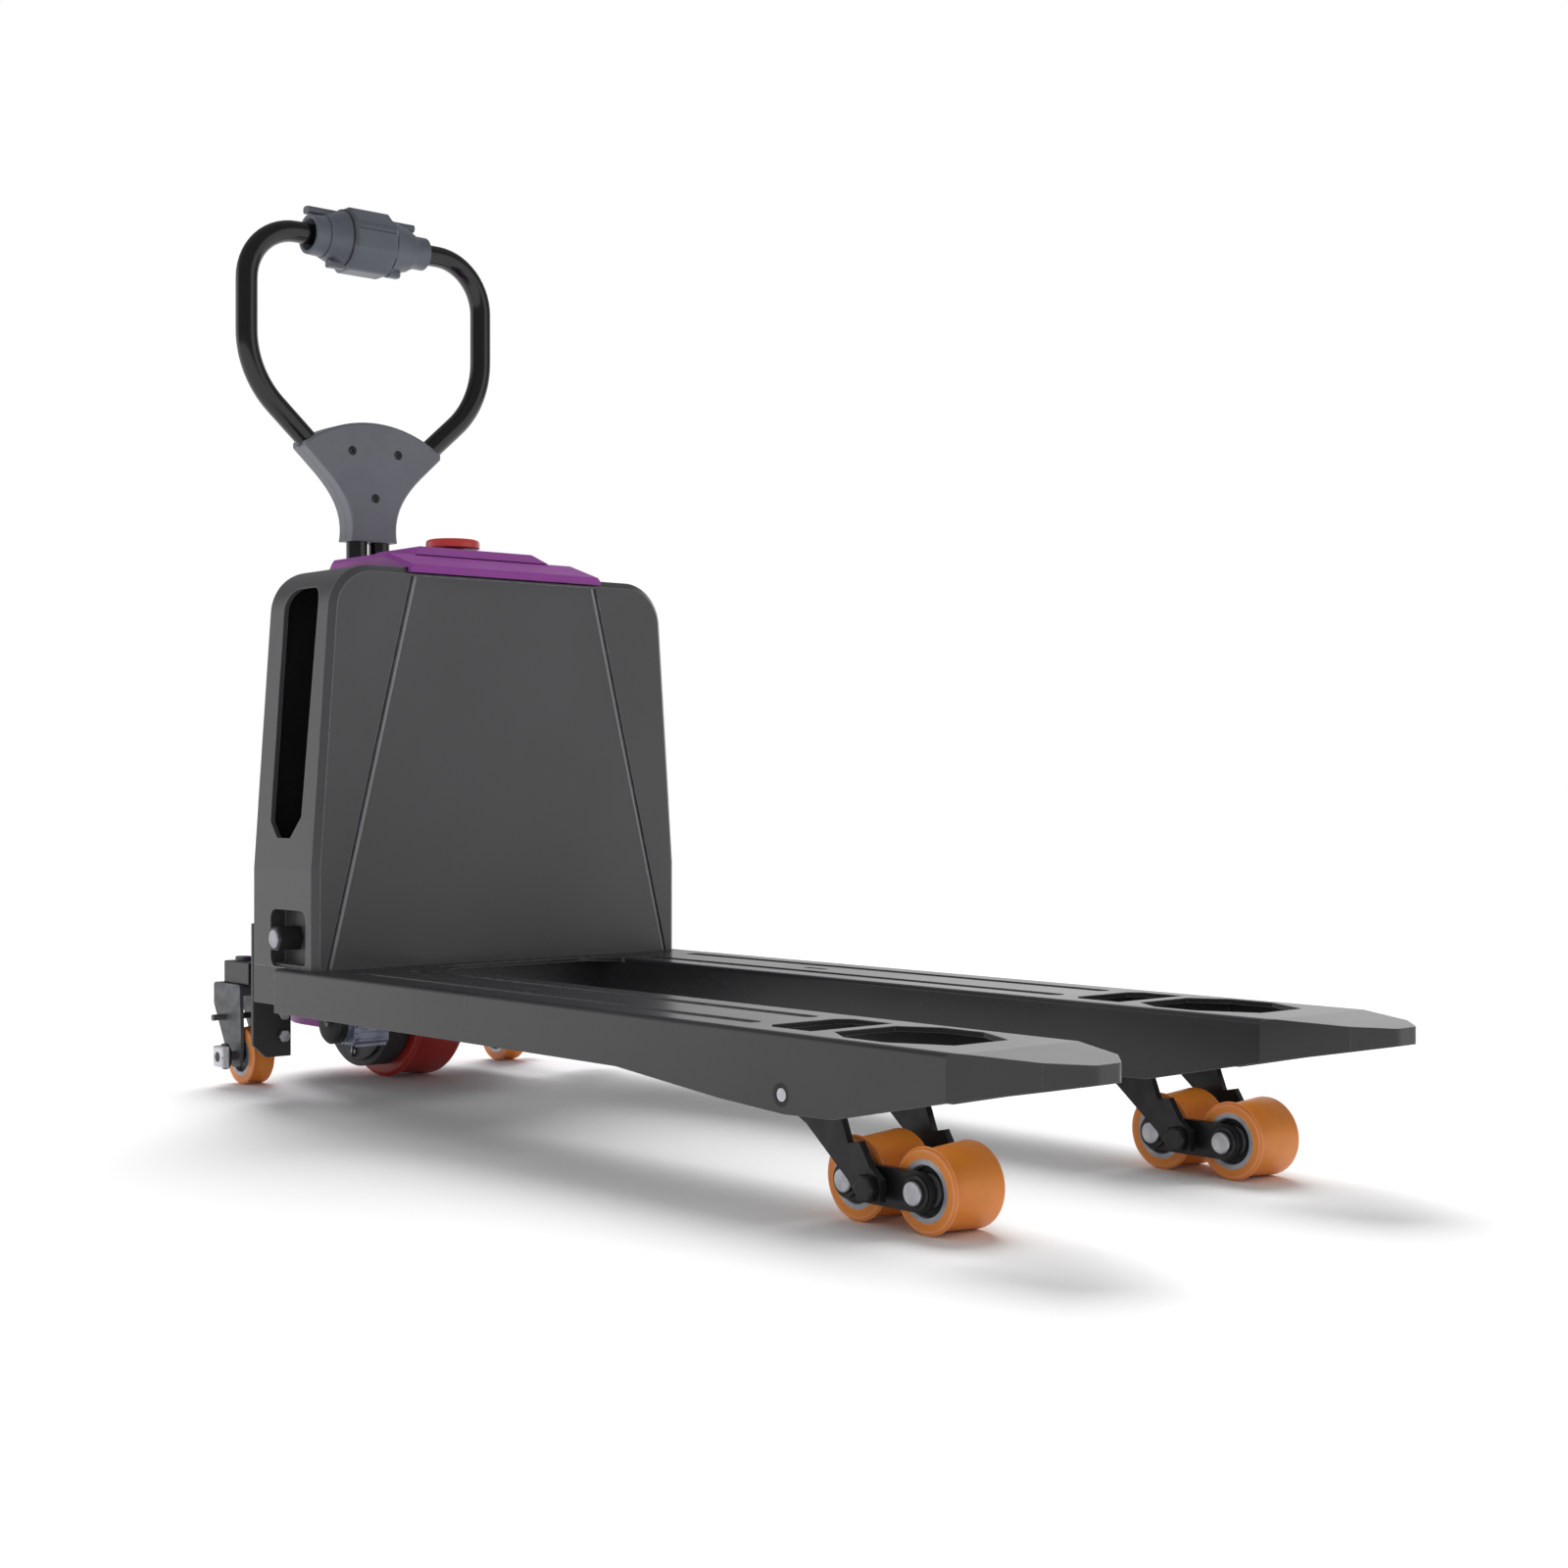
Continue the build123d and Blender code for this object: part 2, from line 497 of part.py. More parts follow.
KING = 10.0
HOUSING_Z = 127.5, 155.0
with BuildPart() as caster_arms:
    for side in (1, -1):
        y = side * CASTER_Y
        block(FACE_X - 266, PLATE_X, y - 12, y + 12, 130, 152)
        block(FACE_X - 336, FACE_X - 266, y - 17, y + 17, *HOUSING_Z)
        with Locations((KING_X, y, (HOUSING_Z[0] + HOUSING_Z[1]) / 2)):
            Cylinder(KING + RUN, 40, mode=Mode.SUBTRACT)
    chamfer(caster_arms.edges().filter_by(Axis.Z).filter_by(lambda e: e.center().X < FACE_X - 300), 5)
keep(caster_arms, "caster_arms")

# ---- drive unit, steered about Z ----------------------------------------------------------------
GEAR_Y = -DRIVE_WIDTH / 2 - 3.0
GEAR_W = 30.0
GEAR_TOP = BRIDGE_Z[0] - 2.0
RIM = DRIVE_RADIUS - 25.0
with BuildPart() as gearbox:
    with BuildSketch(across(STEER_X, DRIVE_RADIUS, GEAR_Y - GEAR_W)):
        Circle(DRIVE_RADIUS - 17)
    extrude(amount=GEAR_W)
    block(STEER_X - 40, STEER_X + 40, GEAR_Y - GEAR_W, GEAR_Y, DRIVE_RADIUS, GEAR_TOP)
    block(STEER_X - 40, STEER_X + 40, GEAR_Y - 10, 45, GEAR_TOP - 10, GEAR_TOP)
    with BuildSketch(Plane.XY.offset(GEAR_TOP - 10)):
        with Locations((STEER_X, 0)):
            Circle(NECK)
    extrude(amount=TABLE_Z - GEAR_TOP + 10)
    rod_along_y(STEER_X, DRIVE_RADIUS, GEAR_Y, DRIVE_WIDTH / 2 - 10, 14)
keep(gearbox, "gearbox")

with BuildPart() as gearbox_cover:
    with BuildSketch(across(STEER_X, DRIVE_RADIUS, GEAR_Y - GEAR_W - 5)):
        Circle(RIM)
    extrude(amount=5)
    outer = Plane(origin=(STEER_X, GEAR_Y - GEAR_W - 5, DRIVE_RADIUS), x_dir=(1, 0, 0), z_dir=(0, -1, 0))
    with BuildSketch(outer):
        with BuildLine():
            Polyline((-RIM / 2, RIM - 20), (0, 4 - RIM), (RIM / 2, RIM - 20), (RIM / 2 - 10, RIM - 20),
                     (0, 30 - RIM), (10 - RIM / 2, RIM - 20), close=True)
        make_face()
        Circle(24)
    extrude(amount=4)
keep(gearbox_cover, "gearbox_cover")

SOCKET_HALF = 32.0
PIN = 8.0
LUG_T = 9.0
with BuildPart() as turntable:
    with BuildSketch(Plane.XY.offset(TABLE_Z)):
        with Locations((STEER_X, 0)):
            Circle(76)
        with Locations(((STEER_X + TILLER_X - 20) / 2, 0)):
            Rectangle(STEER_X - TILLER_X + 20, 2 * (SOCKET_HALF + LUG_T) + 2)
    extrude(amount=8)
    for side in (1, -1):
        y0 = side * (SOCKET_HALF + GAP)
        with BuildSketch(Plane(origin=(0, max(y0, y0 + side * LUG_T), 0), x_dir=(1, 0, 0), z_dir=(0, -1, 0))):
            with Locations((TILLER_X, TILLER_PIVOT_Z)):
                Circle(20)
            with Locations((TILLER_X, (TABLE_Z + TILLER_PIVOT_Z) / 2)):
                Rectangle(40, TILLER_PIVOT_Z - TABLE_Z)
        extrude(amount=LUG_T)
    rod_along_y(TILLER_X, TILLER_PIVOT_Z, -SOCKET_HALF - GAP - LUG_T, SOCKET_HALF + GAP + LUG_T, PIN)
keep(turntable, "turntable")

with BuildPart() as traction_motor:
    with BuildSketch(Plane.XY.offset(TABLE_Z + 8)):
        with Locations((STEER_X + 14, 0)):
            Circle(56)
    extrude(amount=135)
    with BuildSketch(Plane.XY.offset(TABLE_Z + 143)):
        with Locations((STEER_X + 14, 0)):
            Circle(48)
    extrude(amount=18)
    fillet(traction_motor.faces().sort_by(Axis.Z)[-1].edges(), 5)
keep(traction_motor, "traction_motor")

# ---- drive wheel --------------------------------------------------------------------------------


def make_wheel(centre, tyre_r, rim_r, bore_r, width, tyre_name, hub_name, edge):
    """A tyre moulded on a hub with dished faces and a running bore."""
    x, y, z = centre
    with BuildPart() as tyre:
        with BuildSketch(across(x, z, y - width / 2)):
            Circle(tyre_r)
            Circle(rim_r, mode=Mode.SUBTRACT)
        extrude(amount=width)
        chamfer(tyre.edges().filter_by(GeomType.CIRCLE).filter_by(lambda e: e.radius > rim_r + 1), edge)
    keep(tyre, tyre_name)
    with BuildPart() as hub:
        with BuildSketch(across(x, z, y - width / 2)):
            Circle(rim_r)
            Circle(bore_r, mode=Mode.SUBTRACT)
        extrude(amount=width)
        for face in (y - width / 2, y + width / 2 - 5):
            with BuildSketch(across(x, z, face)):
                Circle(rim_r - 4)
                Circle(bore_r + 6, mode=Mode.SUBTRACT)
            extrude(amount=5, mode=Mode.SUBTRACT)
    keep(hub, hub_name)


make_wheel((STEER_X, 0, DRIVE_RADIUS), DRIVE_RADIUS, RIM, 14 + RUN, DRIVE_WIDTH,
           "drive_tyre", "drive_rim", 5)

# ---- casters ------------------------------------------------------------------------------------
YOKE_IN = CASTER_WIDTH / 2 + 2.0
YOKE_T = 5.0
AXLE = 6.0
AXLE_END = 42.0             # the long outer end of a caster's axle
for name, side in (("left", 1), ("right", -1)):
    y = side * CASTER_Y
    with BuildPart() as yoke:
        block(FACE_X - 350, FACE_X - 279, y - YOKE_IN - YOKE_T, y + YOKE_IN + YOKE_T, 113, 127.5 - GAP)
        fillet(yoke.edges().filter_by(Axis.Y).filter_by(lambda e: e.center().Z > 120), 5)
        for edge in (y - YOKE_IN, y + YOKE_IN + YOKE_T):
            with BuildSketch(Plane(origin=(0, edge, 0), x_dir=(1, 0, 0), z_dir=(0, -1, 0))):
                with BuildLine():
                    Polyline((FACE_X - 350, 113), (FACE_X - 350, 100), (FACE_X - 316, 42), (FACE_X - 300, 22),
                             (FACE_X - 279, 24), (FACE_X - 276, 60), (FACE_X - 279, 113), close=True)
                make_face()
            extrude(amount=YOKE_T)
        with Locations((KING_X, y, (127 + 160) / 2)):
            Cylinder(KING, 160 - 127 + 1)
        y0, y1 = sorted((y - side * 27, y + side * AXLE_END))
        rod_along_y(CASTER_X, CASTER_RADIUS, y0, y1, AXLE)
        for end, size in ((y - side * 26 - 4, 11), (y + side * AXLE_END - 4, 13)):
            with BuildSketch(across(CASTER_X, CASTER_RADIUS, end)):
                RegularPolygon(size, 6)
            extrude(amount=8)
        rod_along_y(FACE_X - 318, 84, y - 40, y + 40, 4)
    keep(yoke, "caster_yoke_" + name)
    make_wheel((CASTER_X, y, CASTER_RADIUS), CASTER_RADIUS, CASTER_RADIUS - 11, AXLE + RUN, CASTER_WIDTH,
               "caster_tyre_" + name, "caster_hub_" + name, 3)

# ---- load wheels, rockers and link arms ---------------------------------------------------------
SPAN = 2 * LOAD_RADIUS + 10.0
PIVOT_X = FACE_X + 930.0
ROCKER_IN = LOAD_WIDTH / 2 + 2.0
ROCKER_T = 8.0
PIN_HEAD = 6.0
ARM_IN = ROCKER_IN + ROCKER_T + PIN_HEAD + 1.3
ARM_T = 7.0
PIVOT = 8.0
for name, side in (("left", 1), ("right", -1)):
    y = side * FORK_Y
    with BuildPart() as arm:
        for start in (y - ARM_IN - ARM_T, y + ARM_IN):
            with BuildSketch(Plane(origin=(0, start + ARM_T, 0), x_dir=(1, 0, 0), z_dir=(0, -1, 0))):
                with BuildLine():
                    Polyline((LINK_X - 15, LINK_Z + 14), (LINK_X + 22, LINK_Z + 14),
                             (LINK_X + 56, FORK_TOP - 71), (LINK_X + 64, LOAD_RADIUS + 35),
                             (LINK_X + 78, LOAD_RADIUS + 38), (LINK_X + 90, LOAD_RADIUS + 19),
                             (PIVOT_X + 14, LOAD_RADIUS + 8), (PIVOT_X + 14, LOAD_RADIUS - 11),
                             (PIVOT_X - 14, LOAD_RADIUS - 11), (PIVOT_X - 27, LOAD_RADIUS + 4),
                             (LINK_X + 10, LINK_Z - 25.5), (LINK_X - 15, LINK_Z - 14), close=True)
                make_face()
            extrude(amount=ARM_T)
        rod_along_y(LINK_X, LINK_Z, y - ARM_IN, y + ARM_IN, 16)
        with BuildSketch(across(LINK_X, LINK_Z, y - 60)):
            Circle(LINK_PIN + RUN)
        extrude(amount=120, mode=Mode.SUBTRACT)
        with BuildSketch(across(PIVOT_X, LOAD_RADIUS, y - 60)):
            Circle(PIVOT + RUN)
        extrude(amount=120, mode=Mode.SUBTRACT)
    keep(arm, "link_arm_" + name)

    with BuildPart() as rocker:
        for start in (y - ROCKER_IN - ROCKER_T, y + ROCKER_IN):
            with BuildSketch(across(PIVOT_X, LOAD_RADIUS, start)):
                SlotCenterToCenter(SPAN, 34)
            extrude(amount=ROCKER_T)
    keep(rocker, "rocker_" + name)

    with BuildPart() as pins:
        for dx in (-SPAN / 2, SPAN / 2):
            rod_along_y(PIVOT_X + dx, LOAD_RADIUS, y - ROCKER_IN, y + ROCKER_IN, 9)
            for end in (y - ROCKER_IN - ROCKER_T - PIN_HEAD, y + ROCKER_IN + ROCKER_T):
                rod_along_y(PIVOT_X + dx, LOAD_RADIUS, end, end + PIN_HEAD, 11)
        stub = ARM_IN + ARM_T + 1 - ROCKER_IN - ROCKER_T
        for end in (y - ROCKER_IN - ROCKER_T - stub, y + ROCKER_IN + ROCKER_T):
            rod_along_y(PIVOT_X, LOAD_RADIUS, end, end + stub, PIVOT)
        for end in (y - ARM_IN - ARM_T - 8, y + ARM_IN + ARM_T + 1):
            with BuildSketch(across(PIVOT_X, LOAD_RADIUS, end)):
                RegularPolygon(13, 6)
            extrude(amount=7)
    keep(pins, "rocker_pins_" + name)
    for place, dx in (("rear", -SPAN / 2), ("front", SPAN / 2)):
        make_wheel((PIVOT_X + dx, y, LOAD_RADIUS), LOAD_RADIUS, LOAD_RADIUS - 11, 9 + RUN, LOAD_WIDTH,
                   f"load_tyre_{place}_{name}", f"load_hub_{place}_{name}", 3)

# ---- tiller -------------------------------------------------------------------------------------
TUBE = 14.0
TUBE_WALL = 3.0
LEG_Y = 17.0
LOOP_Y = 179.0
SPREAD_Z = TILLER_TOP - 339.0
ELBOW_Z = TILLER_TOP - 193.0
with BuildPart() as tiller_tube:
    with BuildLine() as route:
        FilletPolyline(
            (TILLER_X, -LEG_Y, TILLER_PIVOT_Z + 20), (TILLER_X, -LEG_Y, SPREAD_Z),
            (TILLER_X, -LOOP_Y, ELBOW_Z), (TILLER_X, -LOOP_Y, TILLER_TOP), (TILLER_X, LOOP_Y, TILLER_TOP),
            (TILLER_X, LOOP_Y, ELBOW_Z), (TILLER_X, LEG_Y, SPREAD_Z), (TILLER_X, LEG_Y, TILLER_PIVOT_Z + 20),
            radius=[60, 125, 71, 71, 125, 60],
        )
    with BuildSketch(Plane(origin=route.line @ 0, z_dir=route.line % 0)):
        Circle(TUBE)
    sweep()
    tube_outside = tiller_tube.part
    with BuildSketch(Plane(origin=route.line @ 0, z_dir=route.line % 0)) as bore:
        Circle(TUBE - TUBE_WALL)
    sweep(bore.sketch, path=route.wires()[0], mode=Mode.SUBTRACT)
keep(tiller_tube, "tiller_tube")

with BuildPart() as tiller_socket:
    rod_along_y(TILLER_X, TILLER_PIVOT_Z, -SOCKET_HALF, SOCKET_HALF, 20)
    block(TILLER_X - 20, TILLER_X + 20, -SOCKET_HALF, SOCKET_HALF, TILLER_PIVOT_Z, TILLER_PIVOT_Z + 80)
    with BuildSketch(across(TILLER_X, TILLER_PIVOT_Z, -60)):
        Circle(PIN + RUN)
    extrude(amount=120, mode=Mode.SUBTRACT)
    for side in (1, -1):
        with Locations((TILLER_X, side * LEG_Y, TILLER_PIVOT_Z + 20 + 50)):
            Cylinder(TUBE, 100, mode=Mode.SUBTRACT)
keep(tiller_socket, "tiller_socket")

HEAD_T = 20.0
HEAD_Z = SPREAD_Z + 57.0      # height of the head's corners
HEAD_RIM = 7.0
HEAD_SIDE = (103, HEAD_Z), (75, HEAD_Z - 26), (50, HEAD_Z - 54), (35, HEAD_Z - 119)
SCREWS = (-35, HEAD_Z), (35, HEAD_Z), (0, HEAD_Z - 61)


def head_outline():
    """The Y shaped clamp cover seen from the front."""
    corner, foot = HEAD_SIDE[0], HEAD_SIDE[-1]
    with BuildLine() as outline:
        ThreePointArc((-corner[0], corner[1] + HEAD_RIM), (0, HEAD_Z + 40), (corner[0], corner[1] + HEAD_RIM))
        Line((corner[0], corner[1] + HEAD_RIM), corner)
        Spline(*HEAD_SIDE)
        Line(foot, (-foot[0], foot[1]))
        Spline(*[(-y, z) for y, z in reversed(HEAD_SIDE)])
        Line((-corner[0], corner[1]), (-corner[0], corner[1] + HEAD_RIM))
    make_face(outline.edges())


for name, sign in (("head_front", 1), ("head_rear", -1)):
    with BuildPart() as head:
        with BuildSketch(upright(TILLER_X)):
            head_outline()
        extrude(amount=sign * HEAD_T)
        outer_face = head.faces().filter_by(Axis.X).sort_by(Axis.X)[-1 if sign > 0 else 0]
        chamfer(outer_face.edges(), 3)
        if sign > 0:
            with BuildSketch(upright(TILLER_X + HEAD_T)):
                with Locations(*SCREWS):
                    Circle(6)
            extrude(amount=-4.5, mode=Mode.SUBTRACT)
        add(tube_outside, mode=Mode.SUBTRACT)
    keep(head, name)

with BuildPart() as head_screws:
    with BuildSketch(upright(TILLER_X + HEAD_T - 4.5)):
        with Locations(*SCREWS):
            Circle(5)
            RegularPolygon(2.6, 6, mode=Mode.SUBTRACT)
    extrude(amount=3)
keep(head_screws, "head_screws")

# ---- control grip on the top bar ----------------------------------------------------------------
GRIP_Y = -42.0, 25.0
GRIP_R = 45.0
BUTTONS = {"lift_button": (-25, 20), "lower_button": (7, 20), "horn_button": (-9, -16)}
BUTTON_R = 8.0
WELL = 13.0                 # depth of the wells for the buttons
with BuildPart() as grip_body:
    with BuildSketch(across(TILLER_X, TILLER_TOP, GRIP_Y[0])):
        RegularPolygon(GRIP_R, 8, rotation=22.5)
    extrude(amount=GRIP_Y[1] - GRIP_Y[0])
    fillet(grip_body.edges().filter_by(Axis.Y), 12)
    chamfer(grip_body.faces().filter_by(Axis.Y).edges(), 5)
    with BuildSketch(across(TILLER_X, TILLER_TOP, GRIP_Y[0] - 1)):
        Circle(TUBE)
    extrude(amount=120, mode=Mode.SUBTRACT)
    # wells for the buttons, on the operator's side
    for y, z in BUTTONS.values():
        with BuildSketch(upright(TILLER_X - GRIP_R - 1)):
            with Locations((y, TILLER_TOP + z)):
                Circle(BUTTON_R)
        extrude(amount=WELL + 1, mode=Mode.SUBTRACT)
keep(grip_body, "grip_body")

with BuildPart() as grip_ends:
    with BuildSketch(Plane(origin=(TILLER_X, 0, TILLER_TOP), x_dir=(0, 1, 0), z_dir=(1, 0, 0))):
        with BuildLine():
            Polyline((-70, TUBE), (-70, 27), (-90, 26), (-90, 21), (-76, TUBE), close=True)
        make_face()
        with BuildLine():
            Polyline((59, TUBE), (59, 27), (70, 22), (86, 22), (86, TUBE), close=True)
        make_face()
    revolve(axis=Axis((TILLER_X, 0, TILLER_TOP), (0, 1, 0)))
keep(grip_ends, "grip_ends")

SLEEVE = -69.5, 58.5          # outer ends of the two turning sleeves
LEVERS = (-90, GRIP_Y[0] - GAP, -6, 33), (-64, GRIP_Y[0] - GAP, 6, -36), \
    (GRIP_Y[1] + GAP, 72, -6, 33), (GRIP_Y[1] + GAP, 42, 6, -36)
with BuildPart() as throttle:
    with BuildSketch(Plane(origin=(TILLER_X, 0, TILLER_TOP), x_dir=(0, 1, 0), z_dir=(1, 0, 0))):
        with BuildLine():
            Polyline((SLEEVE[0], TUBE + RUN), (SLEEVE[0], 28), (GRIP_Y[0] - GAP, 39),
                     (GRIP_Y[0] - GAP, TUBE + RUN), close=True)
        make_face()
        with BuildLine():
            Polyline((SLEEVE[1], TUBE + RUN), (SLEEVE[1], 28), (GRIP_Y[1] + GAP, 38),
                     (GRIP_Y[1] + GAP, TUBE + RUN), close=True)
        make_face()
    revolve(axis=Axis((TILLER_X, 0, TILLER_TOP), (0, 1, 0)))
    # thumb levers: short bars above and below each sleeve
    for y0, y1, x, z in LEVERS:
        with BuildSketch(across(TILLER_X + x, TILLER_TOP + z, y0)):
            RectangleRounded(15, 10, 4)
        extrude(amount=y1 - y0)
keep(throttle, "throttle_levers")

BUTTON_TRAVEL = 3.0
for name, (y, z) in BUTTONS.items():
    with BuildPart() as button:
        with BuildSketch(upright(TILLER_X - GRIP_R + WELL - BUTTON_TRAVEL - GAP)):
            with Locations((y, TILLER_TOP + z)):
                Circle(BUTTON_R - RUN)
        extrude(amount=-9 - BUTTON_TRAVEL)
        fillet(button.faces().sort_by(Axis.X)[0].edges(), 2)
    keep(button, name)

# ---- export -------------------------------------------------------------------------------------
os.makedirs("parts", exist_ok=True)
for piece in pieces:
    export_step(piece, f"parts/{piece.label}.step")
print(len(pieces), "pieces")
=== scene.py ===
# %% [markdown]
# An electric pallet truck: two forks on tandem rollers, a box shaped chassis, a steered drive wheel under
# a purple cowl and a looped tiller. The CAD frame gives every size and place. This file only makes the
# looks: it keeps the plain CAD nodes where they are right, and lays finer meshes over those that the eye
# meets first.

# %% Load the frame
import bmesh
import bpy
import json
import math
from mathutils import Matrix, Vector


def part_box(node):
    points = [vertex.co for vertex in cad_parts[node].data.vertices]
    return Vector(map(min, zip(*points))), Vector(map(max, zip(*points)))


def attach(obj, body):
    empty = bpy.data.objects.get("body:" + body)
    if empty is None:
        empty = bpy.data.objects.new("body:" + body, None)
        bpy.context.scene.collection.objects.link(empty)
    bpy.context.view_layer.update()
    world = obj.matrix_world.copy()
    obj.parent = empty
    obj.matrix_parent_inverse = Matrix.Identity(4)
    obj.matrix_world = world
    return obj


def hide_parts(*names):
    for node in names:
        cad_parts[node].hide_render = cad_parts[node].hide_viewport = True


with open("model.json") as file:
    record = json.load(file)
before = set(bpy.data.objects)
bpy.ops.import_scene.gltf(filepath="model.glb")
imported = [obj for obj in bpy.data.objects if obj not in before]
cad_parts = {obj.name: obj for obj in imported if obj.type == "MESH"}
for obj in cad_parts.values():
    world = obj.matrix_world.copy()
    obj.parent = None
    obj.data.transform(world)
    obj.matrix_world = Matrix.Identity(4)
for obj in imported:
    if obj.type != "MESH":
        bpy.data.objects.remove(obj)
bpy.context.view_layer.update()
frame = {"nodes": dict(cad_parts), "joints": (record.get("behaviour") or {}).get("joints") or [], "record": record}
bodies = frame["record"]["behaviour"]["bodies"]
body_of_node = {node: body for body, nodes in bodies.items() for node in nodes}
joint_at = {j["name"]: Vector(j.get("pos_m", (0, 0, 0))) for j in frame["joints"]}

# %% [markdown]
# The whole truck is measured in millimetres on a drawing, while Blender works in metres. One short
# function turns one into the other, so that every size below can be read as a drawing size.

# %% Sizes
def mm(value):
    """Millimetres to metres."""
    return value / 1000.0


def middle(node):
    """The centre of a CAD node's box."""
    low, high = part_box(node)
    return (low + high) / 2


face_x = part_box("front_panel")[1].x
fork_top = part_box("fork_left")[1].z
print("chassis face at x =", round(face_x, 4), " fork deck at z =", round(fork_top, 4))

# %% [markdown]
# The camera stands low, at about knee height, beyond the fork tips and to their right, and looks level
# towards the chassis. A level camera keeps upright edges upright. Its place is worked out from the
# chassis face, so that it follows the truck.

# %% Camera
CAMERA_AHEAD, CAMERA_ASIDE, CAMERA_HEIGHT = 2.33009, -1.57053, 0.37874
CAMERA_PITCH, CAMERA_HEADING = 90.05, 49.02
camera_data = bpy.data.cameras.new("camera")
camera_data.lens = 51.93
camera_data.sensor_width = 36.0
camera = bpy.data.objects.new("camera", camera_data)
camera.location = (face_x + CAMERA_AHEAD, CAMERA_ASIDE, CAMERA_HEIGHT)
camera.rotation_euler = (math.radians(CAMERA_PITCH), 0.0, math.radians(CAMERA_HEADING))
bpy.context.scene.collection.objects.link(camera)
bpy.context.scene.camera = camera
bpy.context.scene.view_settings.view_transform = "Standard"
print("camera", [round(v, 3) for v in camera.location])

# %% [markdown]
# Materials start from two small tools. Colours are written as the hex values that a paint card gives, and
# one function turns them to the linear values that the renderer needs. Another adds any node with its
# settings and links, so that a material reads as a list of steps.

# %% Material tools
def srgb(code):
    """A hex colour such as 6B6F74 as linear red, green, blue and alpha."""
    parts = [int(code[i:i + 2], 16) / 255 for i in (0, 2, 4)]
    return tuple(p / 12.92 if p <= 0.04045 else ((p + 0.055) / 1.055) ** 2.4 for p in parts) + (1.0,)


def add(tree, kind, settings=None, **inputs):
    """Add a node, set its properties, and fill or link its inputs (spaces written as underscores)."""
    made = tree.nodes.new("ShaderNode" + kind)
    for key, value in (settings or {}).items():
        setattr(made, key, value)
    for key, value in inputs.items():
        socket = made.inputs[int(key[1:])] if key[1:].isdigit() else made.inputs[key.replace("_", " ")]
        if isinstance(value, bpy.types.NodeSocket):
            tree.links.new(value, socket)
        else:
            socket.default_value = value
    return made


def start_material(name, **surface):
    """A new material with its shader's own sockets set, and object coordinates in metres."""
    made = bpy.data.materials.new(name)
    made.use_nodes = True
    tree = made.node_tree
    shader = tree.nodes["Principled BSDF"]
    for key, value in surface.items():
        shader.inputs[key.replace("_", " ")].default_value = value
    place = tree.nodes.new("ShaderNodeTexCoord").outputs["Object"]
    return made, tree, shader, place


def ramp(tree, value, low, high, at_low, at_high):
    """A value mapped from one range to another, held at its ends."""
    return add(tree, "MapRange", None, Value=value, From_Min=low, From_Max=high, To_Min=at_low,
               To_Max=at_high).outputs[0]


def combined(tree, operation, first, second=0.0):
    """Two values put through a math operation such as ADD or MAXIMUM; ABSOLUTE takes only the first."""
    return add(tree, "Math", {"operation": operation}, i0=first, i1=second).outputs[0]


def noise(tree, place, size_mm, detail, **more):
    """Noise with features of a real size."""
    return add(tree, "TexNoise", None, Vector=place, Scale=1 / mm(size_mm), Detail=detail, **more).outputs[0]


def dot(tree, first, second):
    """How far two directions agree, from -1 to 1."""
    return add(tree, "VectorMath", {"operation": "DOT_PRODUCT"}, i0=first, i1=second).outputs["Value"]


def mixed(tree, factor, first, second):
    """Two colours mixed by a factor."""
    return add(tree, "Mix", {"data_type": "RGBA"}, i0=factor, i6=first, i7=second).outputs[2]


EDGE_RADIUS = 1.5


def edge_wear_and_highlight(tree, strength):
    """Wear and a painted highlight near a sharp edge, broken up by a 15 mm mottle, and the normal of a rounded
    edge.
    """
    rounded_normal = add(tree, "Bevel", {"samples": 6}, Radius=mm(EDGE_RADIUS)).outputs[0]
    flat_normal = tree.nodes.new("ShaderNodeNewGeometry").outputs["Normal"]
    edge = ramp(tree, dot(tree, rounded_normal, flat_normal), 0.998, 0.95, 0.0, strength)
    place = tree.nodes.new("ShaderNodeTexCoord").outputs["Object"]
    mottle = ramp(tree, noise(tree, place, 15, 5.0), 0.3, 0.7, 0.45, 1.0)
    return combined(tree, "MULTIPLY", edge, mottle), rounded_normal


# %% [markdown]
# Powder coated steel covers the forks and the chassis. The powder melts in an oven and flows into a skin
# with a faint orange peel, about a millimetre across, which breaks up reflections a little. Edges are thin
# and rub lighter, partly wear and partly a painted highlight, and flats gather a thin uneven dust that dulls the
# gloss.

# %% Powder coat
def powder_coat(name, colour, worn_and_highlight_tone, gloss, rub_and_highlight=0.45, round_bar=False):
    """Satin powder coat: colour, colour of rubbed and painted-highlight edges, mean roughness, how strongly edges
    are rubbed and painted as highlight.

    A round bar has no edges, so its normals stay as they are.
    """
    made, tree, shader, place = start_material(name, Specular_IOR_Level=0.5)
    peel = noise(tree, place, 1.4, 1.0)
    dust = noise(tree, place, 260, 3.0)
    scuff = noise(tree, place, 9, 8.0, Roughness=0.75)
    tone = mixed(tree, ramp(tree, dust, 0.35, 0.7, 0.0, 0.06), srgb(colour), srgb(worn_and_highlight_tone))
    edge_rub_and_highlight, rounded_normal = edge_wear_and_highlight(tree, rub_and_highlight)
    tone = mixed(tree, edge_rub_and_highlight, tone, srgb(worn_and_highlight_tone))
    tree.links.new(tone, shader.inputs["Base Color"])
    rough = combined(tree, "ADD", ramp(tree, dust, 0.3, 0.7, gloss - 0.02, gloss + 0.03),
                     ramp(tree, scuff, 0.60, 0.85, 0.0, 0.07))
    tree.links.new(rough, shader.inputs["Roughness"])
    bump = add(tree, "Bump", None, Strength=0.015, Distance=mm(0.1), Height=peel)
    if not round_bar:
        tree.links.new(rounded_normal, bump.inputs["Normal"])
    tree.links.new(bump.outputs[0], shader.inputs["Normal"])
    return made
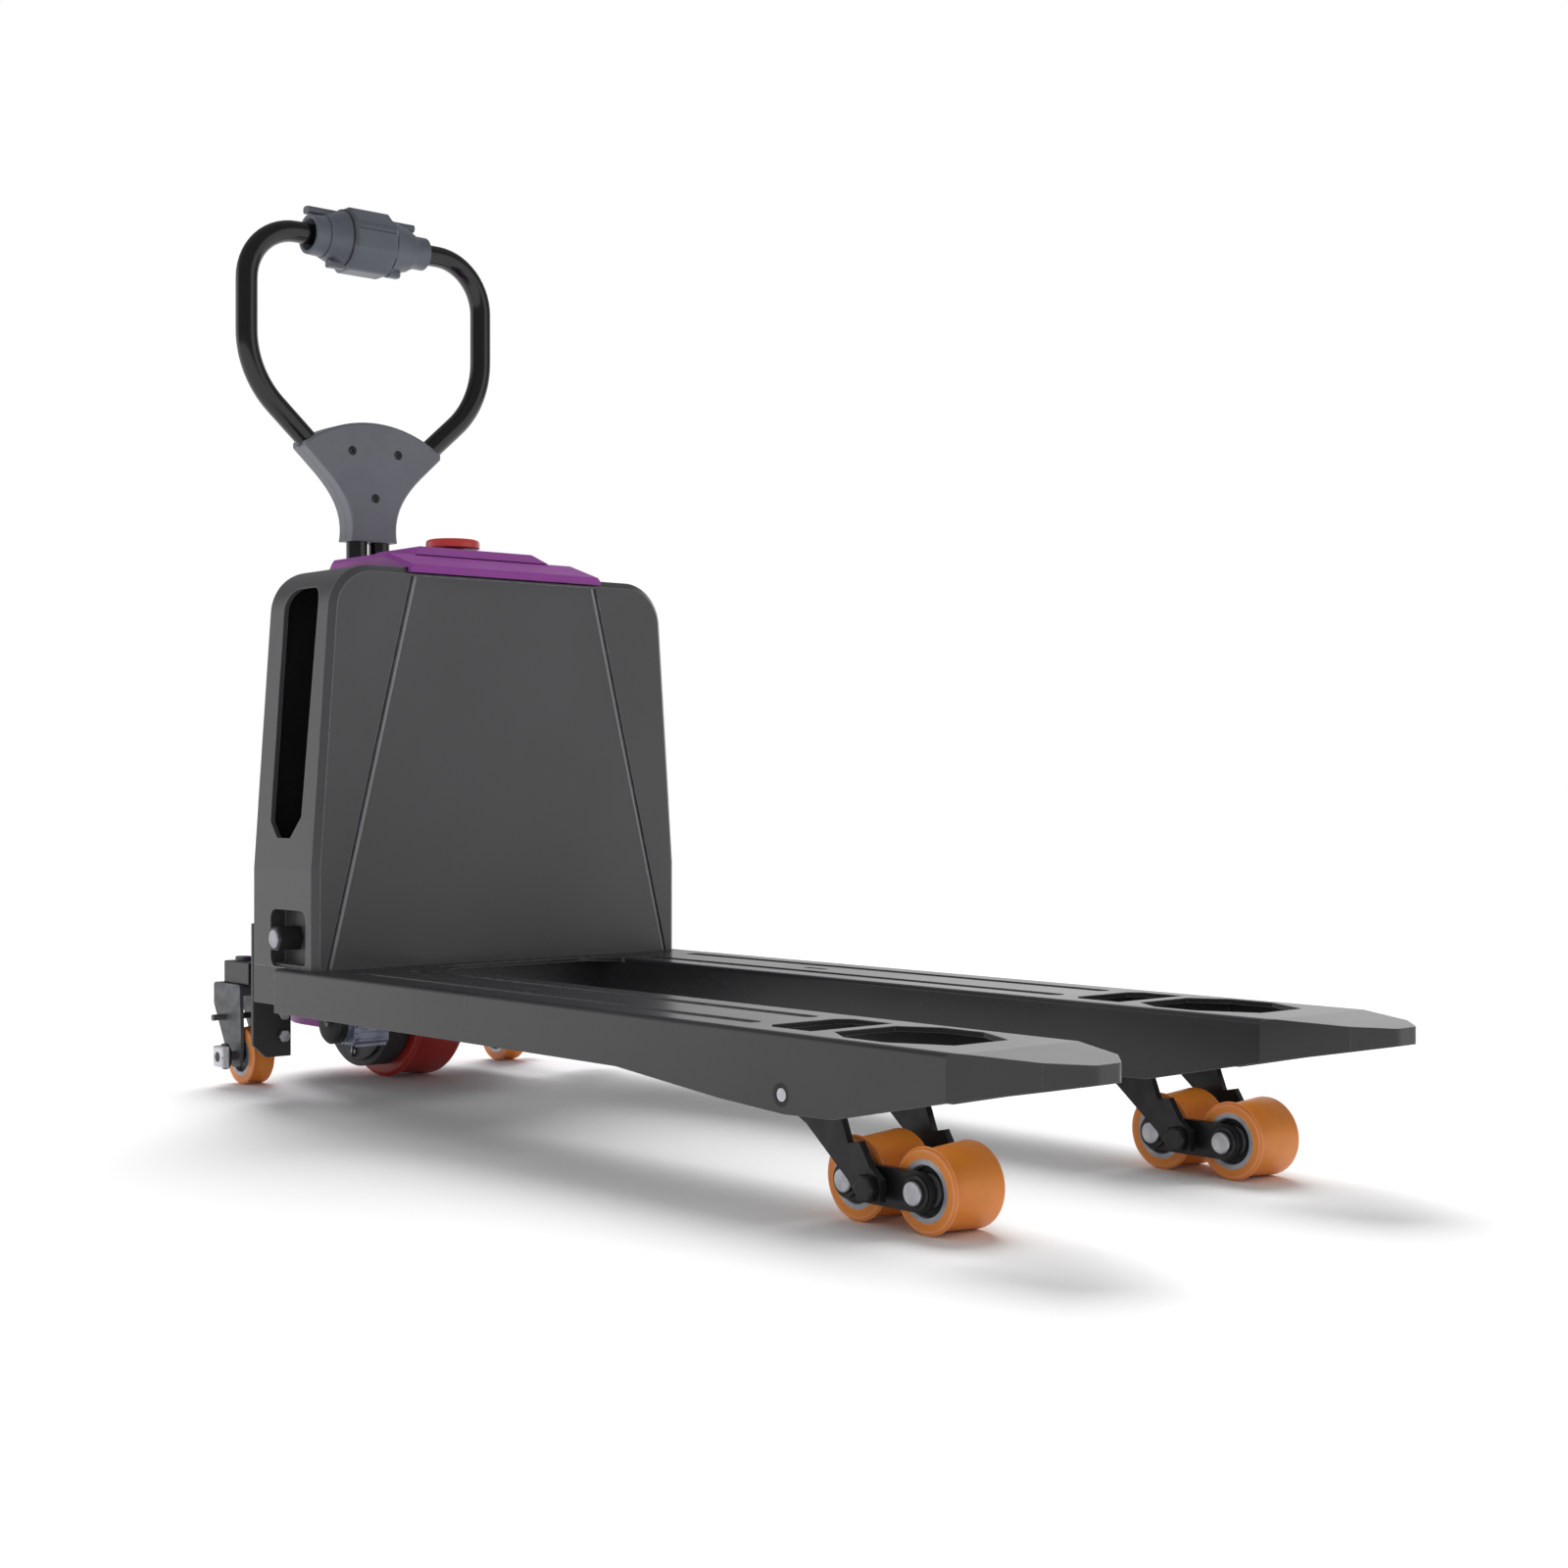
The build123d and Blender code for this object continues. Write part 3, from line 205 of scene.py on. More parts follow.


# Each coat's second colour tints the dust and lightens sharp edges: partly rubbed wear, partly a painted
# highlight.
fork_coat = powder_coat("powder_coated_steel_forks", "1B1B1D", "7A7B7E", 0.27, rub_and_highlight=0.6)
shell_coat = powder_coat("powder_coated_steel_chassis", "3B3B3D", "96979A", 0.38, rub_and_highlight=0.8)
frame_coat = powder_coat("powder_coated_steel_frame", "1B1B1C", "77787B", 0.38)
tube_coat = powder_coat("powder_coated_steel_tiller", "070708", "1C1C1E", 0.16, round_bar=True)
# The bead's coat is a lighter copy of the chassis coat: a painted highlight along the panel's folded edges.
bead_highlight_coat = powder_coat("powder_coated_steel_bead_painted_highlight", "7A7A7E", "B2B3B6", 0.30, round_bar=True)
print("powder coats ready")

# %% [markdown]
# Mouldings are ABS. A spark-eroded mould leaves a fine grain of about half a millimetre, drawn here at
# nearly a millimetre so that it shows. The grip is rubbed by hands, so its roughness wanders slowly over
# the surface.

# %% Moulded plastics
def moulded(name, colour, lighter, gloss, grain_mm=0.8, depth=0.10, spec=0.5):
    """Moulded plastic with a spark-eroded grain and a slow change of tone."""
    made, tree, shader, place = start_material(name, Specular_IOR_Level=spec, IOR=1.54)
    grain = noise(tree, place, grain_mm, 3.0)
    slow = noise(tree, place, 60, 4.0)
    tone = mixed(tree, ramp(tree, slow, 0.3, 0.7, 0.0, 0.35), srgb(colour), srgb(lighter))
    # Sharp edges are lightened towards the lighter tone: partly rubbed wear, partly a painted highlight.
    edge_rub_and_highlight, rounded_normal = edge_wear_and_highlight(tree, 0.5)
    tone = mixed(tree, edge_rub_and_highlight, tone, srgb(lighter))
    tree.links.new(tone, shader.inputs["Base Color"])
    tree.links.new(ramp(tree, slow, 0.3, 0.7, gloss - 0.06, gloss + 0.08), shader.inputs["Roughness"])
    bump = add(tree, "Bump", None, Strength=depth, Distance=mm(0.15), Height=grain, Normal=rounded_normal)
    tree.links.new(bump.outputs[0], shader.inputs["Normal"])
    return made


grey_abs = moulded("abs_grained_slate_grey", "5C6067", "7C8187", 0.46)
grip_abs = moulded("abs_grained_grip_grey", "494E57", "646A73", 0.42)
purple_abs = moulded("abs_satin_purple", "84338A", "9C4FA3", 0.40, depth=0.05, spec=0.3)
red_abs = moulded("polycarbonate_signal_red", "C2332F", "D4544E", 0.30, depth=0.03)
black_abs = moulded("abs_grained_black", "1A1A1C", "3A3A3D", 0.5)
print("plastics ready")

# %% [markdown]
# Cast polyurethane is poured round the hub and turned to size. It is a little translucent, and the light
# that gathers in its edges is painted on as a lighter, pinker edge colour. Fine circular tool marks run
# round the tread. Use leaves a dull film in patches.

# %% Cast polyurethane
def polyurethane(name, colour, edge, soiled):
    """Cast polyurethane with turning marks 0.9 mm apart along the axle, a soiled tread and a painted glow of
    lighter colour along its edges.
    """
    made, tree, shader, place = start_material(name, Specular_IOR_Level=0.45, IOR=1.5, Subsurface_Weight=0.12,
                                               Subsurface_Scale=mm(6))
    marks = add(tree, "TexWave", {"bands_direction": "Y"}, Vector=place, Scale=1 / mm(0.9) / 6.28,
                Distortion=0.6, Detail=2.0).outputs[1]
    soil = noise(tree, place, 14, 7.0, Roughness=0.65)
    tone = mixed(tree, ramp(tree, soil, 0.5, 0.8, 0.0, 0.3), srgb(colour), srgb(soiled))
    # The edge colour along sharp edges is a painted glow of light gathering in the translucent rim.
    tone = mixed(tree, edge_wear_and_highlight(tree, 0.9)[0], tone, srgb(edge))
    tree.links.new(tone, shader.inputs["Base Color"])
    tree.links.new(ramp(tree, soil, 0.3, 0.7, 0.30, 0.46), shader.inputs["Roughness"])
    bump = add(tree, "Bump", None, Strength=0.08, Distance=mm(0.1), Height=marks).outputs[0]
    tree.links.new(bump, shader.inputs["Normal"])
    return made


# The second colour of each is the painted edge glow.
orange_pu = polyurethane("cast_polyurethane_orange", "E2862C", "F2A07A", "B9702F")
red_pu = polyurethane("cast_polyurethane_red", "A62A26", "C8544C", "862420")
print("polyurethanes ready")

# %% [markdown]
# The metals that are not painted: zinc plated hubs and pins, machined bearing steel, chromed piston rod,
# die cast aluminium and rough painted castings. A metal takes its colour from its base colour and its
# look from its roughness, so each one gets streaks or grain of its own size.

# %% Bare and cast metals
def bare_metal(name, colour, darker, gloss, grain_mm, depth, metallic=1.0):
    """Bare metal with a grain of a real size and slow darker patches."""
    made, tree, shader, place = start_material(name, Metallic=metallic)
    grain = noise(tree, place, grain_mm, 4.0)
    patch = noise(tree, place, 12, 5.0)
    tone = mixed(tree, ramp(tree, patch, 0.4, 0.75, 0.0, 0.7), srgb(colour), srgb(darker))
    tree.links.new(tone, shader.inputs["Base Color"])
    rough = combined(tree, "ADD", ramp(tree, patch, 0.3, 0.7, gloss - 0.05, gloss + 0.08),
                     ramp(tree, grain, 0.4, 0.7, 0.0, 0.08))
    tree.links.new(rough, shader.inputs["Roughness"])
    bump = add(tree, "Bump", None, Strength=depth, Distance=mm(0.2), Height=grain).outputs[0]
    tree.links.new(bump, shader.inputs["Normal"])
    return made


zinc_plate = bare_metal("zinc_plated_steel", "B9BABF", "8F9096", 0.34, 0.6, 0.05)
hub_zinc = bare_metal("zinc_flake_hub", "A9ABB2", "83858C", 0.42, 0.8, 0.08, 0.7)
machined_steel = bare_metal("machined_bearing_steel", "9A9A9C", "6E6E72", 0.28, 0.4, 0.06)
hard_chrome = bare_metal("hard_chromed_rod", "D8D8DA", "BFC0C4", 0.10, 0.4, 0.01)
die_cast = bare_metal("die_cast_aluminium", "8E93A3", "6A6E7E", 0.38, 1.0, 0.18)
yoke_zinc = bare_metal("zinc_flake_yoke", "5E6063", "46484B", 0.45, 1.2, 0.10, 0.45)
cast_paint = bare_metal("painted_iron_casting", "3A3B3D", "2A2B2D", 0.55, 1.6, 0.35, 0.1)
phosphate = bare_metal("phosphated_black_steel", "29292B", "1B1B1D", 0.33, 0.9, 0.10, 0.55)
bright_zinc = bare_metal("bright_zinc_nut", "DADBDF", "BDBEC3", 0.40, 0.6, 0.05, 0.25)
# Near black: the colour of the bearing seals, seams and bosses, and also painted shade: the ring round each link
# pin and the head screws in their recesses.
dark_void = bare_metal("blackened_seal_and_painted_shade", "101011", "1A1A1C", 0.5, 0.8, 0.05, 0.0)
print("metals ready")

# %% [markdown]
# A cast, moulded or cut part never has a perfectly sharp edge: it is rounded by a millimetre or so, and
# that round is what catches the light. The CAD nodes have true sizes but sharp edges, so a copy of a
# node's mesh is cleaned of its triangles and every edge sharper than 28 degrees is rounded with a bevel
# whose normals keep the flats flat.

# %% Rounding the edges of a node
def finish_piece(piece, material, body):
    """Give a piece its material and body."""
    piece.data.materials.clear()
    piece.data.materials.append(material)
    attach(piece, body)
    return piece


SHARP = math.radians(28)


def rounded(node, material, radius_mm):
    """A copy of a CAD node with rounded edges, laid over the node."""
    mesh = frame["nodes"][node].data.copy()
    work = bmesh.new()
    work.from_mesh(mesh)
    bmesh.ops.remove_doubles(work, verts=work.verts, dist=mm(0.01))
    bmesh.ops.dissolve_limit(work, angle_limit=math.radians(1.0), verts=work.verts, edges=work.edges)
    work.to_mesh(mesh)
    work.free()
    if mesh.attributes.get("custom_normal"):
        mesh.attributes.remove(mesh.attributes["custom_normal"])
    mesh.shade_smooth()
    mesh.set_sharp_from_angle(angle=SHARP)
    piece = bpy.data.objects.new("fine_" + node, mesh)
    bpy.context.scene.collection.objects.link(piece)
    bevel = piece.modifiers.new("round edges", "BEVEL")
    bevel.width = mm(radius_mm)
    bevel.segments = 2
    bevel.limit_method = "ANGLE"
    bevel.angle_limit = SHARP
    bevel.use_clamp_overlap = True
    bevel.harden_normals = True
    bevel.miter_outer = "MITER_ARC"
    finish_piece(piece, material, body_of_node[node])
    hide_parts(node)
    return piece


for node, material, radius in (
    ("base_plate", frame_coat, 1.0), ("bridge_plate", frame_coat, 1.0), ("base_brackets", frame_coat, 1.0),
    ("caster_arms", frame_coat, 1.5), ("link_arm_left", phosphate, 0.8), ("link_arm_right", phosphate, 0.8),
    ("turntable", frame_coat, 1.0), ("tiller_socket", frame_coat, 1.5), ("guide_rails", frame_coat, 0.8),
    ("rear_covers", frame_coat, 0.6), ("caster_yoke_left", yoke_zinc, 0.8),
    ("caster_yoke_right", yoke_zinc, 0.8), ("gearbox", cast_paint, 2.5), ("gearbox_cover", cast_paint, 1.2),
    ("battery_packs", black_abs, 2.0), ("pump_unit", die_cast, 1.5), ("drive_cowl", purple_abs, 2.0),
    ("head_front", grey_abs, 1.2), ("head_rear", grey_abs, 1.2), ("grip_body", grip_abs, 1.2),
    ("grip_ends", grip_abs, 0.6), ("throttle_levers", grip_abs, 0.8), ("rocker_left", phosphate, 0.8),
    ("rocker_right", phosphate, 0.8), ("lift_cylinder", machined_steel, 0.6),
    ("steering_bearing", machined_steel, 0.6), ("traction_motor", cast_paint, 1.0),
    ("tab_bolts", zinc_plate, 0.8), ("slide_blocks", machined_steel, 0.6),
):
    rounded(node, material, radius)

# %% [markdown]
# The big pressed parts have true shapes with wide flats, and a few buttons, screws and the rod are plain,
# so they keep their CAD mesh. Only their material changes. The coats and mouldings soften edges with
# their own rounded normals; the rod's and the screws' metals have none.

# %% Kept nodes
def keep_node(node, material):
    """A CAD node that stays as it is, with a better material."""
    mesh = frame["nodes"][node].data
    mesh.materials.clear()
    mesh.materials.append(material)


for node, material in (
    ("fork_left", fork_coat), ("fork_right", fork_coat), ("heel_frame", fork_coat),
    ("chassis_shell", shell_coat), ("front_panel", shell_coat), ("top_cover", purple_abs),
    # The head screws are painted near black as the shade of the recesses they sit in.
    ("lift_rod", hard_chrome), ("head_screws", dark_void), ("lift_button", black_abs),
    ("lower_button", black_abs), ("horn_button", black_abs),
):
    keep_node(node, material)

# %% [markdown]
# Wheels, knobs and bolt heads are turned parts. On a lathe they come from one profile, and here too: a
# list of radius and offset pairs is spun round the Y axis. More points near a corner round it, and a spin
# in six or four steps makes a hexagon or a square.

# %% Turning a profile
def turned(name, profile, centre, material, body, steps=96, replaces=()):
    """A closed ring turned from (radius, offset) pairs in mm about the Y axis."""
    mesh = bpy.data.meshes.new(name)
    work = bmesh.new()
    rings = []
    for radius, offset in profile:
        if radius < 0.01:
            rings.append([work.verts.new((centre[0], centre[1] + mm(offset), centre[2]))])
            continue
        ring = []
        for i in range(steps):
            turn = 2 * math.pi * i / steps
            ring.append(work.verts.new((centre[0] + mm(radius) * math.cos(turn), centre[1] + mm(offset),
                                        centre[2] + mm(radius) * math.sin(turn))))
        rings.append(ring)
    closed = profile[0][0] > 0.01
    pairs = list(zip(rings, rings[1:] + ([rings[0]] if closed else [])))
    for a, b in pairs:
        for i in range(steps):
            j = (i + 1) % steps
            corner = [a[i % len(a)], a[j % len(a)], b[j % len(b)], b[i % len(b)]]
            unique = list(dict.fromkeys(corner))
            if len(unique) > 2:
                work.faces.new(unique)
    bmesh.ops.recalc_face_normals(work, faces=work.faces)
    work.to_mesh(mesh)
    work.free()
    mesh.shade_smooth()
    mesh.set_sharp_from_angle(angle=math.radians(32))
    piece = bpy.data.objects.new(name, mesh)
    bpy.context.scene.collection.objects.link(piece)
    finish_piece(piece, material, body)
    if replaces:
        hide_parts(*replaces)
    return piece


def soft_corner(radius, offset, round_mm, towards):
    """Points that round a profile's outer corner; towards is +1 for the +Y side and -1 for the other."""
    points = []
    for i in range(5):
        turn = math.radians(90) * i / 4
        drop = round_mm - round_mm * math.cos(turn)
        points.append((radius - round_mm + round_mm * math.sin(turn), offset - towards * drop))
    return points if towards > 0 else points[::-1]


# %% [markdown]
# A roller is a steel hub with a ball bearing pressed into each side and an orange tyre cast on it. From
# the side the eye meets four rings: tyre, bright rim, dark seal, and the pin. The tyre's edges are
# rounded by 3 to 7 mm.

# %% Rollers and casters
def wheel(tyre_node, hub_node, tyre_material, hub_material, edge_mm):
    """A tyre and a dished hub, both turned, in place of their CAD nodes."""
    low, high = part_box(tyre_node)
    centre = (low + high) / 2
    outer, half = (high.z - low.z) * 500, (high.y - low.y) * 500
    hub_low, hub_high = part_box(hub_node)
    rim = (hub_high.z - hub_low.z) * 500
    body = body_of_node[tyre_node]
    tyre = [(rim, -half), (outer - edge_mm, -half)]
    tyre += soft_corner(outer, -half, edge_mm, -1)[1:]
    tyre += soft_corner(outer, half, edge_mm, 1)[::-1]
    tyre += [(rim, half)]
    turned("tyre_" + tyre_node, tyre, centre, tyre_material, body, replaces=[tyre_node])
    bore = rim * 0.36
    dish = rim * 0.80
    hub = [(bore, -half + 3), (rim * 0.52, -half + 3), (rim * 0.55, -half + 6), (dish - 1, -half + 6.5),
           (dish, -half + 1), (dish + 1, -half), (rim - 0.1, -half), (rim - 0.1, half), (dish + 1, half),
           (dish, half - 1), (dish - 1, half - 6.5), (rim * 0.55, half - 6), (rim * 0.52, half - 3),
           (bore, half - 3)]
    turned("hub_" + hub_node, hub, centre, hub_material, body, replaces=[hub_node])
    for side in (-1, 1):
        outside, inside = side * (half - 5.4), side * (half - 6.4)
        seal = [(rim * 0.50, outside), (dish - 0.8, outside), (dish - 0.8, inside), (rim * 0.50, inside)]
        turned(f"seal_{hub_node}_{'near' if side < 0 else 'far'}", seal, centre, dark_void, body)


for side in ("left", "right"):
    for place in ("rear", "front"):
        wheel(f"load_tyre_{place}_{side}", f"load_hub_{place}_{side}", orange_pu, hub_zinc, 4)
    wheel("caster_tyre_" + side, "caster_hub_" + side, orange_pu, hub_zinc, 3)
wheel("drive_tyre", "drive_rim", red_pu, cast_paint, 7)
print("wheels ready")

# %% [markdown]
# The axle pins of the rollers are bright zinc with flat heads, and the pivot pin between them is black
# with a hex head that has a turned boss on its face. They are three kinds of turned part, so the CAD node
# of all pins is replaced by separate pieces with a proper chamfer on each head.

# %% Roller pins
for side in ("left", "right"):
    hub = middle("load_hub_rear_" + side)
    hub_front = middle("load_hub_front_" + side)
    low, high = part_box("rocker_" + side)
    half = (high.y - low.y) * 500
    pins_low, pins_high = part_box("rocker_pins_" + side)
    reach = (pins_high.y - pins_low.y) * 500
    body = "bogie_" + side
    for label, spot in (("rear", hub), ("front", hub_front)):
        profile = [(0, -half - 6), (9.6, -half - 6), (10.6, -half - 5), (10.6, -half), (8.9, -half),
                   (8.9, half), (10.6, half), (10.6, half + 5), (9.6, half + 6), (0, half + 6)]
        pin = turned(f"pin_{label}_{side}", profile, spot, zinc_plate, body, steps=64)
        if label == "rear":
            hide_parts("rocker_pins_" + side)
        for end in (-1, 1):
            washer = [(11.5, end * (half + 0.1)), (15.5, end * (half + 0.1)), (15.5, end * (half + 1.7)),
                      (14.9, end * (half + 2.2)), (11.5, end * (half + 2.2))]
            turned(f"washer_{label}_{side}_{'near' if end < 0 else 'far'}", washer, spot, phosphate, body)
    spot = (hub + hub_front) / 2
    stub = [(0, -reach + 7), (7.9, -reach + 7), (7.9, -half), (7.9, half), (7.9, reach - 7), (0, reach - 7)]
    turned("pivot_" + side, stub, spot, phosphate, body, steps=64)
    for end in (-1, 1):
        head = [(0, end * (reach - 0.2)), (10.5, end * (reach - 0.2)), (12.6, end * (reach - 1.4)),
                (12.6, end * (reach - 7)), (0, end * (reach - 7))]
        boss = [(0, end * (reach - 0.1)), (6.2, end * (reach - 0.1)), (6.8, end * (reach - 0.8)),
                (6.8, end * (reach - 3)), (0, end * (reach - 3))]
        where = "near" if end < 0 else "far"
        turned(f"pivot_head_{side}_{where}", head, spot, phosphate, body, steps=6)
        turned(f"pivot_boss_{side}_{where}", boss, spot, dark_void, body, steps=48)
print("roller pins ready")

# %% [markdown]
# The link pin sits in a bored hole a little larger than itself, so a black ring of shadow surrounds its
# bright end. The ring is a thin dark washer laid on the side wall, because the wall itself stays closed.

# %% Link pins
for side in ("left", "right"):
    low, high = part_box("fork_" + side)
    swing = joint_at["link_swing_" + side]
    centre = Vector((swing.x, (low.y + high.y) / 2, swing.z))
    half = (high.y - low.y) * 500
    pin = [(0, -half + 0.6), (6.0, -half + 0.6), (6.9, -half + 1.6), (6.9, half - 1.6), (6.0, half - 0.6),
           (0, half - 0.6)]
    made = turned("link_pin_" + side, pin, centre, zinc_plate, "fork_frame", steps=64)
    for end in (-1, 1):
        ring = [(7.0, end * (half + 0.15)), (10.4, end * (half + 0.15)), (10.9, end * (half - 0.2)),
                (10.9, end * (half - 1)), (7.0, end * (half - 3))]
        turned(f"link_hole_{side}_{'near' if end < 0 else 'far'}", ring, centre, dark_void, "fork_frame")
    if side == "left":
        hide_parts("link_pins")
print("link pins ready")

# %% [markdown]
# Ribs, fins and seams are thin plates. One function makes a plate between two corners and bevels all its
# edges.

# %% Thin plates
def slab(name, low, high, material, body, edge_mm=0.5):
    """A thin plate between two corners with bevelled edges."""
    mesh = bpy.data.meshes.new(name)
    work = bmesh.new()
    bmesh.ops.create_cube(work, size=1.0)
    size, centre = Vector(high) - Vector(low), (Vector(high) + Vector(low)) / 2
    for v in work.verts:
        v.co = Vector((v.co.x * size.x, v.co.y * size.y, v.co.z * size.z)) + centre
    bmesh.ops.bevel(work, geom=work.edges, offset=mm(edge_mm), segments=2, affect="EDGES")
    work.to_mesh(mesh)
    work.free()
    piece = bpy.data.objects.new(name, mesh)
    bpy.context.scene.collection.objects.link(piece)
    return finish_piece(piece, material, body)


# %% [markdown]
# The tiller is one steel tube, drawn round a mandrel into a loop: two legs side by side, a bend outwards,
# a bend up, and a wide top bar. A smooth sweep along its centre line shows the long soft highlights of a
# round tube.

# %% Tiller tube
def fillet_path(corners, radii, per_bend=14):
    """A polyline with circular bends at its inner corners."""
    path = [Vector(corners[0])]
    for before, corner, after, radius in zip(corners, corners[1:], corners[2:], radii):
        before, corner, after = Vector(before), Vector(corner), Vector(after)
        into, out = (before - corner).normalized(), (after - corner).normalized()
        half_angle = into.angle(out) / 2
        reach = radius / math.tan(half_angle)
        centre = corner + (into + out).normalized() * (radius / math.sin(half_angle))
        first = (corner + into * reach - centre).normalized()
        last = (corner + out * reach - centre).normalized()
        for i in range(per_bend + 1):
            path.append(centre + first.slerp(last, i / per_bend).normalized() * radius)
    return path + [Vector(corners[-1])]


def swept(name, path, radius_mm, material, body, around=40):
    """A round bar along a path that stays in one plane x = constant."""
    mesh = bpy.data.meshes.new(name)
    work = bmesh.new()
    rings = []
    for i, point in enumerate(path):
        ahead = (path[min(i + 1, len(path) - 1)] - path[max(i - 1, 0)]).normalized()
        side = Vector((1, 0, 0))
        up = ahead.cross(side).normalized()
        rings.append([work.verts.new(point + (side * math.cos(2 * math.pi * k / around)
                                              + up * math.sin(2 * math.pi * k / around)) * mm(radius_mm))
                      for k in range(around)])
    for a, b in zip(rings, rings[1:]):
        for k in range(around):
            work.faces.new((a[k], a[(k + 1) % around], b[(k + 1) % around], b[k]))
    for ring in (rings[0], rings[-1]):
        work.faces.new(ring)
    bmesh.ops.recalc_face_normals(work, faces=work.faces)
    work.to_mesh(mesh)
    work.free()
    mesh.shade_smooth()
    mesh.set_sharp_from_angle(angle=math.radians(50))
    piece = bpy.data.objects.new(name, mesh)
    bpy.context.scene.collection.objects.link(piece)
    return finish_piece(piece, material, body)


LEG_HALF_GAP, SPREAD_DROP, ELBOW_DROP = mm(17), mm(339), mm(193)
SPREAD_BEND, ELBOW_BEND, TOP_BEND = mm(60), mm(125), mm(71)
SKIN_RADIUS = 13.95
tube_low, tube_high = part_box("tiller_tube")
tube_x = (tube_low.x + tube_high.x) / 2
tube_r = mm(14)
loop_y = tube_high.y - tube_r
top_z, foot_z = tube_high.z - tube_r, tube_low.z
half_loop = [(LEG_HALF_GAP, foot_z), (LEG_HALF_GAP, top_z - SPREAD_DROP), (loop_y, top_z - ELBOW_DROP),
             (loop_y, top_z)]
corners = [(tube_x, -y, z) for y, z in half_loop] + [(tube_x, y, z) for y, z in reversed(half_loop)]
bends = [SPREAD_BEND, ELBOW_BEND, TOP_BEND, TOP_BEND, ELBOW_BEND, SPREAD_BEND]
tube = swept("tiller_sweep", fillet_path(corners, bends), SKIN_RADIUS, tube_coat, "tiller")
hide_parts("tiller_tube")
print("tiller tube has", len(tube.data.vertices), "points")

# %% [markdown]
# The grip is moulded in two halves that meet along a fine level seam, and a dark rubber ring closes the
# joint between its body and the turning sleeve. Both are shallow, so they are laid on as thin pieces.

# %% Grip seams
grip_low, grip_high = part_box("grip_body")
ring = [(34, 1.6), (39.7, 1.6), (39.7, 0.4), (34, 0.4)]
turned("grip_ring", ring, (tube_x, grip_low.y - mm(2), top_z), dark_void, "tiller")
slab("grip_seam", (grip_high.x - mm(1), grip_low.y + mm(5), top_z + mm(9.4)),
     (grip_high.x + mm(0.15), grip_high.y - mm(5), top_z + mm(10.5)), dark_void, "tiller", edge_mm=0.1)
print("grip seams ready")

# %% [markdown]
# The side knobs are six sided, black, with a pale machined end. The hand turns them to free the cover, so
# their edges are rubbed; their lightened edges are also a painted highlight.

# %% Side knobs
knob_low, knob_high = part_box("side_knobs")
knob = Vector(((knob_low.x + knob_high.x) / 2, 0, (knob_low.z + knob_high.z) / 2))
knob_r = (knob_high.x - knob_low.x) * 500
knob_out = knob_high.y * 1000
for end, label in ((-1, "right"), (1, "left")):
    grip = [(0, end * (knob_out - 32)), (knob_r, end * (knob_out - 32)), (knob_r, end * (knob_out - 3)),
            (knob_r - 2, end * (knob_out - 1)), (0, end * (knob_out - 1))]
    made = turned("knob_" + label, grip, knob, black_abs, "fork_frame", steps=6)
    face = [(0, end * knob_out), (10, end * knob_out), (11.4, end * (knob_out - 1.2)),
            (11.4, end * (knob_out - 4)), (0, end * (knob_out - 4))]
    turned("knob_face_" + label, face, knob, hub_zinc, "fork_frame", steps=64)
    if label == "right":
        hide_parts("side_knobs")
print("knobs ready")

# %% [markdown]
# The stop button is a flat red mushroom on a stem: pressed for a stop and twisted to free it. Its rim is
# rounded by about four millimetres and its crown is dished by one.

# %% Emergency stop
stop_low, stop_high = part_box("estop_button")
stop_mid = (stop_low + stop_high) / 2
stop_r = (stop_high.x - stop_low.x) * 500
crown = (stop_high.z - stop_mid.z) * 1000
profile = [(0, crown - 1.2), (stop_r * 0.55, crown - 0.9), (stop_r * 0.8, crown - 0.1), (stop_r - 4, crown),
           (stop_r - 1.6, crown - 0.8), (stop_r - 0.4, crown - 2.4), (stop_r, crown - 4.5),
           (stop_r, crown - 10.6), (stop_r - 1, crown - 11), (13.9, crown - 11), (13.9, -crown), (0, -crown)]
button = turned("stop_mushroom", profile, (0, 0, 0), red_abs, "estop")
button.data.transform(Matrix.Translation(stop_mid) @ Matrix.Rotation(math.radians(90), 4, "X"))
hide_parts("estop_button")
print("stop button ready")

# %% [markdown]
# The front panel is a separate sheet with a dark gap along each slanting edge. Beside the gap the edge is
# folded into a narrow bead, coated much lighter than the chassis as a painted highlight along the fold.
# Two half sunk round bars make the fold.

# %% Panel beads
PANEL_HEAD_HALF = mm(136)
BEAD_RADIUS = 2.2
panel_low, panel_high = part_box("front_panel")
for side, label in ((-1, "right"), (1, "left")):
    foot = Vector((panel_high.x - mm(1.4), side * (panel_high.y - mm(3.2)), panel_low.z + mm(2)))
    head = Vector((panel_high.x - mm(1.4), side * (PANEL_HEAD_HALF - mm(6.2)), panel_high.z - mm(1)))
    swept("panel_bead_" + label, [foot, head], BEAD_RADIUS, bead_highlight_coat, "fork_frame", around=20)
print("panel beads ready")

# %% [markdown]
# The pump's body is extruded aluminium with cooling ribs, and its motor cap is a black disc held by one
# small screw.

